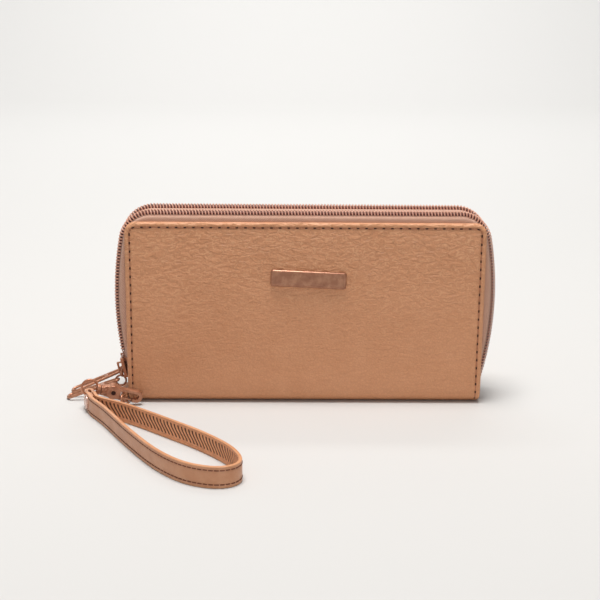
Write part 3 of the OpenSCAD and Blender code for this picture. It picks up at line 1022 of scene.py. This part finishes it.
@dataclass
class ZipChain:
    """Coil chain round the wallet on one side, with its outer tape.

    row_start and own_start are the distances from the left foot at which the cover's row of
    loops, which ends above the slider, and the wallet's own row begin.
    """

    palette: Palette
    side: Side
    reach: float = 100.0
    top: float = 103.2
    side_r: float = 175.0
    corner_r: float = 16.0
    side_z: float = 58.0
    low_z: float = 10.0
    chain_y: float = 8.5
    pitch: float = 1.67
    row_start: float = 19.5
    own_start: float = 0.3

    def path(self) -> tuple[Array, Array]:
        """Middle line of the chain and its outward direction.

        The right half is a wide side arc, a corner arc and half of the straight top; the left
        half mirrors it.

        Returns:
            (x, 0, z) points from the left foot round to the right foot, and unit vectors.
        """
        cx = self.reach - self.side_r
        reach = self.side_r - self.corner_r
        turn_a = math.asin((self.top - self.corner_r - self.side_z) / reach)
        kx = cx + reach * math.cos(turn_a)
        low = math.asin((self.low_z - self.side_z) / self.side_r)
        a = np.linspace(low, turn_a, 400)
        b = np.linspace(turn_a, math.pi / 2, 120)[1:]
        wide = np.stack([cx + self.side_r * np.cos(a), self.side_z + self.side_r * np.sin(a)], -1)
        bend = np.stack([kx + self.corner_r * np.cos(b),
                         self.top - self.corner_r + self.corner_r * np.sin(b)], -1)
        both = np.concatenate([a, b])
        out = np.stack([np.cos(both), np.sin(both)], -1)
        right = np.concatenate([wide, bend])
        points = np.concatenate([right * (-1, 1), right[::-1]])
        normal = np.concatenate([out * (-1, 1), out[::-1]])
        line = np.insert(points, 1, 0.0, axis=1)
        return line, np.insert(normal, 1, 0.0, axis=1)

    def stations(self, step: float, phase: float, start: float) -> tuple[Array, Array, Array]:
        """Evenly spaced points on the chain with their outward and forward directions.

        Args:
            step: Spacing.
            phase: Shift of the first point, in steps.
            start: Distance from the left foot at which to begin.

        Returns:
            Points, outward unit vectors and forward unit vectors.
        """
        line, normal = self.path()
        full = path_length(line)
        s = np.arange(start + phase * step, full - 0.3, step)
        dist = distances(line)
        out = unit(np.stack([np.interp(s, dist, normal[:, k]) for k in range(3)], -1))
        ahead = np.cross(out, ALONG_Y)
        ahead = ahead * np.sign((ahead[:1] * (line[5] - line[0])).sum())
        return resample(line, s), out, ahead

    @staticmethod
    def loop_shape(reach: float, width: float) -> Shape:
        """One coil loop as seen on the chain: a slanted bar that dives at its outer end.

        x runs along the chain, y from the chain's middle outwards and z out of the tape.
        """
        y = np.array([-0.2, 0.4, 1.2, 2.0, 2.6, 2.95])
        z = np.array([0.45, 0.9, 1.1, 0.95, 0.2, -0.9]) * reach
        x = (y - 1.3) * 0.36
        line = np.stack([x, y, z], -1)
        return tube(line, width, 6, ALONG_X, Ends.ROUND)

    def rows(self) -> None:
        """The cover's row and the wallet's own row of coil loops."""
        for outer in (True, False):
            away = self.side.value if outer else -self.side.value
            phase, start = (0.0, self.row_start) if outer else (0.5, self.own_start)
            at, out, ahead = self.stations(self.pitch, phase, start)
            across = np.broadcast_to([0.0, float(away), 0.0], at.shape)
            axes = np.stack([ahead, across, out], 1)
            origin = at + np.array([0, self.side.value * self.chain_y, 0]) + across * 0.12
            verts, faces = scatter(*self.loop_shape(1.0, 0.32), origin, axes)
            name = f"{self.side.word}_{'outer' if outer else 'inner'}_teeth"
            obj = make_piece(name.replace("teeth", "coil"), (verts, faces), self.palette.coil)
            settle(obj, self.side.cover if outer else "core", "coil", name)
            self.core(outer)

    def core(self, outer: bool) -> None:
        """Cord that fills one row of loops, coloured dark as painted shade in the gaps between the loops.
        """
        at, out, _ = self.stations(1.5, 0.0, self.row_start - 0.5 if outer else self.own_start - 0.1)
        away = self.side.value if outer else -self.side.value
        up, across = (box_profile(1.1, 2.2, 0.3, 3) + (-0.2, 1.5)).T
        profile = np.stack([up, self.side.value * self.chain_y + away * across], -1)
        name = f"{self.side.word}_{'outer' if outer else 'inner'}_core"
        obj = make_piece(name, along_chain(at, out, profile), self.palette.core)
        settle(obj, self.side.cover if outer else "core", "coil")

    def tape(self) -> None:
        """Cover's tape: a thin sheet that leaves the cover, bends round and dives under the coil."""
        at, out, _ = self.stations(1.0, 0.0, 0.2)
        a = np.radians(np.linspace(0, 90, 7))
        wall_y, bend_r = 12.72, 1.3
        across = np.concatenate([[wall_y] * 3, wall_y - bend_r + bend_r * np.cos(a), [10.7, 9.7, 8.95]])
        up = np.concatenate([[-8.0, -6.0, -4.2], -2.8 + bend_r * np.sin(a), [-1.15, -0.5, -0.25]])
        outline = sheet_profile(np.stack([up, -across], -1), TAPE_THICK)
        shape = along_chain(at, out, outline * (1, -self.side.value))
        obj = make_piece(f"{self.side.word}_outer_tape_cloth", shape, self.palette.tape,
                         cloth_uv(len(at), outline))
        settle(obj, self.side.cover, "cloth", f"{self.side.word}_outer_tape")

    def build(self) -> None:
        """Coil rows and the tape."""
        self.rows()
        self.tape()


@dataclass
class CentreBand:
    """Tape between the two chains, folded down to the divider in the middle."""

    palette: Palette
    chain: ZipChain
    foot_x: float = 89.6
    foot_top: float = 12.0

    def build(self) -> None:
        """One sheet swept round: flat under both coils, with a tucked seam in the middle."""
        at, out, _ = self.chain.stations(1.0, 0.0, 0.2)
        y = np.array([-8.1, -7.4, -6.2, -5.0, -3.8, -2.6, -1.6, -0.8, -0.25, -0.12])
        up = np.array([-0.6, -0.65, -0.75, -0.8, -0.62, -0.4, -0.25, -0.3, -0.7, -1.7])
        line = np.stack([np.concatenate([up, up[::-1]]), np.concatenate([y, -y[::-1]])], -1)
        outline = sheet_profile(line, TAPE_THICK)
        obj = make_piece("centre_band", along_chain(at, out, outline), self.palette.tape,
                         cloth_uv(len(at), outline))
        settle(obj, "core", "cloth", "front_inner_tape", "rear_inner_tape")
        self.feet()

    def feet(self) -> None:
        """Cloth gussets that close the short ends between the spine and the chains' feet."""
        a = np.radians(np.linspace(4, 90, 12))
        radius, flat, clear = 8.0, 7.0, 1.5
        half_y = flat + (radius - clear) * np.sin(a)
        low_z = radius - (radius - clear) * np.cos(a)
        side = np.stack([half_y, low_z], -1)
        side = np.concatenate([side, [[half_y[-1] - 1.6, self.foot_top]]])
        edge = np.concatenate([side, side[::-1] * (-1, 1)])
        parts = []
        for way in (-1.0, 1.0):
            rings = [np.insert(edge, 0, way * (self.foot_x + d), axis=1) for d in (-0.3, 0.3)]
            parts.append((np.concatenate(rings), capped_grid(2, len(edge))))
        obj = make_piece("foot_gussets", join(parts), self.palette.lining)
        settle(obj, "core", "cloth")


@dataclass
class CoinZip:
    """Small zip on the coin pocket's face."""

    palette: Palette
    height: float = 72.0
    y: float = 5.9
    half: float = 77.0
    pitch: float = 1.3

    def build(self) -> None:
        """Two straight rows of small coil loops."""
        parts = []
        verts, faces = ZipChain.loop_shape(0.72, 0.36)
        verts = verts * 0.8
        for way, phase in ((1.0, 0.0), (-1.0, 0.5)):
            x = np.arange(-self.half + 0.6 + phase * self.pitch, self.half - 0.6, self.pitch)
            at = np.stack([x, np.full(len(x), self.y), np.full(len(x), self.height + 0.12 * way)], -1)
            axes = np.broadcast_to(np.stack([ALONG_X, way * ALONG_Z, ALONG_Y]), (len(x), 3, 3))
            parts.append(scatter(verts, faces, at, axes))
        obj = make_piece("coin_coil", join(parts), self.palette.coil)
        settle(obj, "core", "coil", "coin_teeth")


# ---------- hardware ----------


@dataclass
class Pulls:
    """Slider, link and open-loop pull of one zip."""

    palette: Palette
    side: Side
    length: float = 28.5
    width: float = 7.2
    wire: float = 0.82
    cross_at: float = 7.8
    link_wire: float = 0.55
    top_r: float = 2.4
    pivot: tuple = (-102.2, 8.5, 10.6)
    dip: float = 20.0
    skew: float = 15.0
    link: tuple = (-98.7, 17.0)
    hook_r: float = 1.9
    loop_r: float = 2.8

    def outline(self, inset: float) -> Array:
        """Closed teardrop: a small arc at the pivot end, a large one at the far end, joined."""
        small, large = self.top_r - inset, self.width / 2 - inset
        a = np.radians(np.linspace(90, 270, 14))
        b = np.radians(np.linspace(-90, 90, 18))
        far = self.length - self.width / 2
        head = np.stack([small * np.cos(a), small * np.sin(a)], -1)
        tail = np.stack([far + large * np.cos(b), large * np.sin(b)], -1)
        t = np.linspace(0, 1, 14)[1:-1, None]
        low = head[-1] + (tail[0] - head[-1]) * t
        high = tail[-1] + (head[0] - tail[-1]) * t
        return np.concatenate([head, low, tail, high])

    def pull(self) -> None:
        """Round wire teardrop with a flat cross piece below the pivot eye."""
        ring = self.outline(self.wire)
        ring = np.stack([ring[:, 0], ring[:, 1], np.zeros(len(ring))], -1)
        loop = tube(ring, self.wire, 12, ALONG_Z, Ends.JOINED)
        y = np.linspace(-2.0, 2.0, 9)
        bar = np.stack([y * 0 + self.cross_at, y, y * 0], -1)
        cross = sweep(bar, ALONG_Z, box_profile(1.5, 2.5, 0.6, 4), False)
        verts, faces = join([loop, cross])
        turned = verts @ turn("z", 180).T @ turn("y", -self.dip).T
        if self.side is Side.REAR:
            turned = turned @ turn("z", self.skew).T
        at = np.array(self.pivot) * (1, self.side.value, 1)
        name = f"{self.side.word}_pull"
        obj = make_piece(f"{name}_wire", (turned + at, faces), self.palette.metal, smooth_angle=60)
        settle(obj, name, "metal", name)

    def links(self) -> None:
        """Two joined rings: one through the slider's bridge, one through the pull."""
        a = full_turn(40)
        y = self.side.value * self.pivot[1]
        x, z = self.link
        hook = np.stack([np.full(40, x), y + self.hook_r * np.cos(a),
                         z - self.hook_r + self.hook_r * np.sin(a)], -1)
        low = z - 2 * self.hook_r - self.loop_r + 0.2
        loop = np.stack([x - 0.7 + self.loop_r * np.cos(a), np.full(40, y),
                         low + self.loop_r * np.sin(a)], -1)
        shape = join([tube(hook, self.link_wire, 10, ALONG_X, Ends.JOINED),
                      tube(loop, self.link_wire, 10, ALONG_Y, Ends.JOINED)])
        name = f"{self.side.word}_link"
        obj = make_piece(f"{name}_rings", shape, self.palette.metal, smooth_angle=60)
        settle(obj, name, "metal", name)

    def build(self, nodes: dict) -> None:
        """Slider, links and pull."""
        name = f"{self.side.word}_slider"
        slider = cast_piece(f"{name}_cast", nodes[name], 0.16, 6, self.palette.metal)
        settle(slider, name, "metal", name)
        self.links()
        self.pull()


@dataclass
class RingAndClasp:
    """Ring on the spine's end, its leather tab, and the swivel clasp that hooks on it."""

    palette: Palette
    x: float = -97.3
    back: float = -10.5
    front: float = -25.5
    low: float = 1.1
    high: float = 7.0
    wire: float = 0.65
    clasp_at: tuple = (-108.3, -23.2, 10.1)
    clasp_turn: tuple = (13.4, 15.5, 12.0)
    eye: tuple = (6.5, 0.6)
    eye_r: float = 1.55
    cheek: float = 2.28

    def ring(self) -> None:
        """Round wire: straight back, two straight runs and a half-round front."""
        r, mid = (self.high - self.low) / 2, (self.high + self.low) / 2
        bend = 0.6
        a = np.radians(np.linspace(90, 270, 25))
        nose = np.stack([self.front + r + r * np.cos(a), mid + r * np.sin(a)], -1)
        t = np.linspace(0, 1, 14)[1:, None]
        under = np.array([self.back - bend, self.low])
        over = np.array([self.back - bend, self.high])
        lower = nose[-1] + (under - nose[-1]) * t
        upper = over + (nose[0] - over) * t[:-1]
        b = np.radians(np.linspace(-80, -10, 5))
        foot = under + (0, bend) + bend * np.stack([np.cos(b), np.sin(b)], -1)
        head = foot[::-1] * (1, -1) + (0, self.low + self.high)
        rise = np.stack([np.full(5, self.back), np.linspace(self.low + 0.8, self.high - 0.8, 5)], -1)
        yz = np.concatenate([nose, lower, foot, rise, head, upper])
        path = np.insert(yz, 0, self.x, axis=1)
        shape = tube(path, self.wire, 12, ALONG_X, Ends.JOINED)
        obj = make_piece("d_ring_wire", shape, self.palette.metal, smooth_angle=60)
        settle(obj, "d_ring", "metal", "d_ring")

    def eyelet(self) -> None:
        """Rolled rim round the clasp's pivot on both cheeks, with a dark disc in the hollow pin end as
        painted shade.
        """
        yaw, pitch, roll = self.clasp_turn
        spin = turn("z", yaw) @ turn("y", pitch) @ turn("x", roll)
        a = full_turn(28)
        x, z = self.eye
        rims, pits = [], []
        for side in (-1.0, 1.0):
            y = side * self.cheek
            ring = np.stack([x + self.eye_r * np.cos(a), a * 0 + y, z + self.eye_r * np.sin(a)], -1)
            rims.append(tube(ring, 0.36, 8, ALONG_Y, Ends.JOINED))
            disc, faces = revolve(np.array([(1.15, -0.3), (1.2, 0.1), (0.6, 0.0), (0.1, -0.05)]), 20)
            pits.append((disc @ turn("x", 90.0 * side).T + (x, y, z), faces))
        # The pit discs are dark as painted shade inside the hollow pin ends.
        for name, parts, finish in (("clasp_rims", rims, self.palette.metal),
                                    ("clasp_pit_shade", pits, self.palette.hole)):
            verts, faces = join(parts)
            obj = make_piece(name, (verts @ spin.T + self.clasp_at, faces), finish, smooth_angle=60)
            settle(obj, "clasp", "metal")

    def build(self, nodes: dict) -> None:
        """Ring, tab and the clasp's cast parts."""
        self.ring()
        self.eyelet()
        for node, body, slot, voxel, rounds, finish in (
            ("clasp_body", "clasp", "metal", 0.14, 8, self.palette.metal),
            ("clasp_lever", "clasp_lever", "metal", 0.11, 6, self.palette.metal),
            ("swivel_eye", "swivel_eye", "metal", 0.13, 5, self.palette.metal),
            ("ring_tab", "core", "leather", 0.2, 7, self.palette.leather),
        ):
            settle(cast_piece(f"{node}_cast", nodes[node], voxel, rounds, finish), body, slot, node)


# ---------- wrist strap ----------


@dataclass
class Strap:
    """Wrist strap: outer leather, painted edges, braided inner face, stitches and rivet."""

    palette: Palette
    fold: tuple = (-114.75, -22.0)
    fold_r: float = 2.5
    heading: float = -72.0
    high: float = 10.5
    low: float = 0.1
    leather: float = 1.0
    pitch: float = 2.7
    strand: float = 2.7
    rivet_out: float = 6.6

    @property
    def aim(self) -> Array:
        """Heading of the folded end, on the table."""
        return np.array([math.cos(math.radians(self.heading)), math.sin(math.radians(self.heading))])

    @property
    def across(self) -> Array:
        """Square to the heading, towards the wallet."""
        return np.array([-self.aim[1], self.aim[0]])

    def by_fold(self, pairs: list) -> Array:
        """Points given as (along the heading, across it) from the fold's middle."""
        p = np.array(pairs, float)
        return np.array(self.fold) + p[:, :1] * self.aim + p[:, 1:] * self.across

    def line(self) -> tuple[Array, Array]:
        """Closed line of the outer face and the direction inwards, at fine even spacing.

        A Catmull-Rom curve through the lying loop's knots, closed by a half circle at the fold.
        """
        r = self.fold_r
        near = self.by_fold([(0, -r), (4, -r), (8, -r), (11, -r), (16, -2.05), (22, -0.75), (29, 0.8)])
        bow = np.array([(-101.5, -56), (-87, -85), (-72, -111), (-58, -127), (-44, -133.5), (-34, -131),
                        (-30.5, -122), (-36, -106), (-50, -87), (-69.5, -67)], float)
        far = self.by_fold([(46, 23.5), (36, 18), (27.5, 12.8), (21.5, 8.4), (17, 4.9), (13.7, 2.98),
                            (11, r), (8, r), (4, r), (0, r)])
        ends = self.by_fold([(-4, -r), (-4, r)])
        curve = catmull(np.concatenate([ends[:1], near, bow, far, ends[1:]]), 40)
        a = np.radians(np.arange(0, 180, 4))
        turn_back = self.by_fold(np.stack([-r * np.sin(a), r * np.cos(a)], -1).tolist())
        dense = np.concatenate([curve, turn_back])
        loop = np.concatenate([dense, dense[:1]])
        bend = path_length(np.concatenate([turn_back, dense[:1]]))
        whole = path_length(loop)
        s = np.concatenate([np.arange(0, whole - bend, 0.28), np.arange(whole - bend, whole, 0.3)])
        ahead = heading(loop, s, 0.15)
        return resample(loop, s), np.stack([-ahead[:, 1], ahead[:, 0]], -1)

    def from_fold(self, flat: Array) -> tuple[Array, Array]:
        """How far points lie from the fold's middle: along the heading, and across it."""
        away = flat - np.array(self.fold)
        return away @ self.aim, away @ self.across

    def notch(self, flat: Array) -> Array:
        """How much lower the top edge is near the fold, at each point of the line."""
        out, side = self.from_fold(flat)
        return 0.85 * (np.abs(side) < 3.2) * ramp(out, 6.5, 4.9)

    def band(self, name: str, depths: Array, heights: Array, finish: Material, slot: str,
             follow_top: bool = True, shade: Array | None = None) -> Piece:
        """A closed band along the strap's line.

        Args:
            name: Piece name.
            depths: Distance in from the outer face, per outline point or per (station, point).
            heights: Height of each outline point.
            finish: Material.
            slot: Not used; it is passed on to settle, which does not read it.
            follow_top: Whether its upper part drops with the notch.
            shade: A value per vertex kept as the UV map's second number, or None.

        Returns:
            The piece.
        """
        flat, inward = self.line()
        depths = np.broadcast_to(depths, (len(flat), len(heights)))
        xy = flat[:, None] + depths[..., None] * inward[:, None]
        z = np.broadcast_to(heights, depths.shape).copy()
        if follow_top:
            share = ramp(heights, self.low, self.high) ** 4
            z -= self.notch(flat)[:, None] * share[None]
        verts = np.concatenate([xy, z[..., None]], -1).reshape(-1, 3)
        faces = grid_quads(len(flat), len(heights), True, True).tolist()
        uv = None if shade is None else np.stack([shade.ravel() * 0, shade.ravel()], -1)
        obj = make_piece(name, (verts, faces), finish, uv, smooth_angle=55)
        return settle(obj, "strap", slot)

    def outside(self) -> None:
        """Outer leather with a slight crown and raised seam lines, and its two edge beads."""
        mid, tall = (self.high + self.low) / 2, self.high - self.low
        face = np.linspace(-0.5, 0.5, 29)[1:-1]
        crown = 0.10 * np.abs(face * 2) ** 3 + 0.2 * bell(np.abs(face) * tall, 3.45, 0.45)
        z_face = mid + face * (tall - 0.5)
        top, foot = self.high - 0.06, self.low + 0.06
        depths = np.concatenate([crown, [0.35, self.leather, self.leather, 0.35]])
        heights = np.concatenate([z_face, [top, top, foot, foot]])
        outer = self.band("strap_outer", depths, heights, self.palette.strap, "strap_leather")
        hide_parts("strap_leather")
        bead = box_profile(1.75, 0.7, 0.34, 5)
        for word, z in (("upper", self.high - 0.30), ("lower", self.low + 0.36)):
            self.band(f"strap_edge_{word}", bead[:, 0] + 0.93, bead[:, 1] + z, self.palette.edge,
                      "strap_leather", word == "upper")

    def inside(self) -> None:
        """Braided face: slanted strands between two plain borders, level near the fold."""
        mid, tall = (self.high + self.low) / 2, self.high - self.low
        flat, _ = self.line()
        s = distances(np.concatenate([flat, flat[:1]]))[:-1, None]
        v = np.linspace(-1, 1, 33)
        slant = s / self.strand - 0.8 * v - 0.28 * np.sin(v * math.pi)
        rib = np.abs(np.sin(math.pi * slant)) ** 0.75
        field = ramp(v, 0.84, 0.76) * ramp(v, -0.66, -0.56)
        relief = 1.5 + field * (rib * 0.8 - 0.35) + 0.35 * bell(np.abs(v), 0.90, 0.09)
        relief[self.notch(flat) > 0.01] = 1.75
        relief[self.from_fold(flat)[0] < 1.0] = 1.7
        back = np.full((len(flat), 1), self.leather - 0.02)
        depths = np.concatenate([back, relief, back], 1)
        z = mid + v * (tall / 2 - 0.45)
        heights = np.concatenate([z[:1], z, z[-1:]])
        shade = np.concatenate([back * 0, field * (1 - rib), back * 0], 1)
        inner = self.band("strap_braid", depths, heights, self.palette.braid, "cloth", shade=shade)
        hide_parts("strap_lining")

    def stitches(self) -> None:
        """Two rows of short threads sunk in the outer face."""
        flat, _ = self.line()
        ring = np.concatenate([flat, flat[:1]])
        s = np.arange(11.5, path_length(ring) - 14.5, self.pitch)
        at, ahead = resample(ring, s), heading(ring, s)
        out = np.stack([ahead[:, 1], -ahead[:, 0], np.zeros(len(s))], -1)
        ahead = np.insert(ahead, 2, 0.0, axis=1)
        axes = np.stack([ahead, np.cross(out, ahead), out], 1)
        one = dash(0.85, 0.27, 0.06, 1.275)
        rows = [scatter(*one, np.insert(at, 2, z, axis=1) - out * 0.14, axes)
                for z in (self.low + 1.75, self.high - 1.75)]
        obj = make_piece("strap_threads", join(rows), self.palette.strap_thread)
        settle(obj, "strap", "thread")

    def rivet(self) -> None:
        """Domed cap with a rolled rim outside, shank, and a smaller cap inside."""
        cap = np.array([(4.0, 0.02), (4.05, -0.35), (3.9, -0.7), (3.55, -0.9), (3.2, -0.8), (3.0, -0.66),
                        (2.4, -0.8), (1.6, -0.9), (0.8, -0.95), (0.15, -0.96)])
        shank = np.array([(1.2, -0.1), (1.2, 5.1)])
        foot = np.array([(2.5, 5.0), (2.55, 5.25), (2.3, 5.55), (1.4, 5.7), (0.1, 5.72)])
        verts, faces = join([revolve(cap, 40), revolve(shank, 24), revolve(foot, 32)])
        base = self.by_fold([(self.rivet_out, -self.fold_r)])[0]
        axes = np.array([[*self.aim, 0], [0, 0, 1], [*self.across, 0]])
        world = verts @ axes + (base[0], base[1], (self.high + self.low) / 2 - 0.05)
        obj = make_piece("strap_rivet_cast", (world, faces), self.palette.rivet)
        settle(obj, "strap", "metal", "strap_rivet")

    def build(self) -> None:
        """Every layer of the strap."""
        self.outside()
        self.inside()
        self.stitches()
        self.rivet()


# ---------- studio ----------


@dataclass
class Studio:
    """Camera, lights and a pale curved backdrop."""

    distance: float = 0.700
    elevation: float = 14.5
    azimuth: float = -1.0
    roll: float = 0.5
    target: tuple = (-0.0026, 0.0, 0.0537)
    lens: float = 77.6

    def camera(self) -> None:
        """Camera at the given angle round the target."""
        e, a = math.radians(self.elevation), math.radians(self.azimuth)
        back = Vector((math.sin(a) * math.cos(e), -math.cos(a) * math.cos(e), math.sin(e)))
        data = bpy.data.cameras.new("camera")
        data.lens, data.sensor_width, data.clip_start = self.lens, 36.0, 0.01
        cam = bpy.data.objects.new("camera", data)
        cam.location = Vector(self.target) + back * self.distance
        cam.rotation_mode = "QUATERNION"
        level = (-back).to_track_quat("-Z", "Y")
        cam.rotation_quaternion = level @ Quaternion((0, 0, 1), math.radians(self.roll))
        bpy.context.scene.collection.objects.link(cam)
        bpy.context.scene.camera = cam

    def lamp(self, name: str, at: tuple, aim: tuple, size: float, watts: float,
             colour: tuple = (1, 1, 1)) -> None:
        """One square area light."""
        data = bpy.data.lights.new(name, "AREA")
        data.size, data.energy, data.color = size, watts, colour
        lamp = bpy.data.objects.new(name, data)
        lamp.location = at
        lamp.rotation_mode = "QUATERNION"
        lamp.rotation_quaternion = (Vector(aim) - Vector(at)).to_track_quat("-Z", "Y")
        bpy.context.scene.collection.objects.link(lamp)

    def backdrop(self) -> None:
        """Floor that curves up into a wall behind, as one swept sheet."""
        wall_y, wall_top, bend_r = 2400.0, 4200.0, 900.0
        a = np.radians(np.linspace(0, 90, 24))
        y = np.concatenate([[-4000.0, -1500, 0, 900], wall_y - bend_r + bend_r * np.sin(a), [wall_y]])
        z = np.concatenate([[0.0, 0, 0, 0], bend_r * (1 - np.cos(a)), [wall_top]])
        x = np.array([-4500.0, 4500.0])
        verts = np.stack(np.broadcast_arrays(x[None], y[:, None], z[:, None]), -1).reshape(-1, 3)
        obj = make_piece("backdrop", (verts, grid_quads(len(y), 2)), Backdrop().build(),
                         tidy_normals=False)
        if obj.data.polygons[0].normal.z < 0:
            obj.data.flip_normals()

    def build(self) -> None:
        """Whole studio; the world is a plain pale white."""
        self.camera()
        self.backdrop()
        self.lamp("key", at=(-0.05, -0.12, 1.18), aim=(0, 0, 0.03), size=0.45, watts=14.2,
                  colour=(1.0, 0.985, 0.97))
        self.lamp("fill", at=(0.15, -1.5, 0.35), aim=(0, 0, 0.05), size=1.0, watts=2.5)
        self.lamp("wall", at=(0.0, 1.1, 1.7), aim=(0, 2.3, 0.6), size=1.4, watts=36.0)
        world = bpy.data.worlds.new("studio")
        world.use_nodes = True
        ground = world.node_tree.nodes["Background"]
        ground.inputs["Color"].default_value = (1.0, 0.99, 0.98, 1)
        ground.inputs["Strength"].default_value = 0.34
        bpy.context.scene.world = world
        bpy.context.scene.view_settings.view_transform = "Standard"


def dress_nodes(nodes: dict, palette: Palette) -> None:
    """Gives the CAD nodes that stay in sight their finishes."""
    finishes = {
        palette.board: ("spine_board", "front_board", "back_board", "divider_board"),
        palette.lining: ("front_lining", "front_cards", "back_lining", "divider_linings",
                         "divider_cards", "coin_pocket", "coin_tape"),
        palette.metal: ("badge_studs", "zip_stops", "coin_slider", "coin_pull", "clasp_pin",
                        "clasp_spring"),
        palette.strap: ("strap_tail",),
    }
    for finish, names in finishes.items():
        for name in names:
            mesh = nodes[name].data
            mesh.materials.clear()
            mesh.materials.append(finish)


def main() -> None:
    """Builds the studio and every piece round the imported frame."""
    logging.basicConfig(level=logging.INFO, format="%(name)s %(message)s")
    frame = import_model()
    nodes = frame["nodes"]
    Studio().build()
    palette = Palette()
    dress_nodes(nodes, palette)
    Covers(palette).build()
    Badge(palette).build()
    chains = [ZipChain(palette, side) for side in Side]
    for chain in chains:
        chain.build()
    CentreBand(palette, chains[0]).build()
    CoinZip(palette).build()
    for side in Side:
        Pulls(palette, side).build(nodes)
    RingAndClasp(palette).build(nodes)
    Strap(palette).build()


if __name__ == "__main__":
    main()
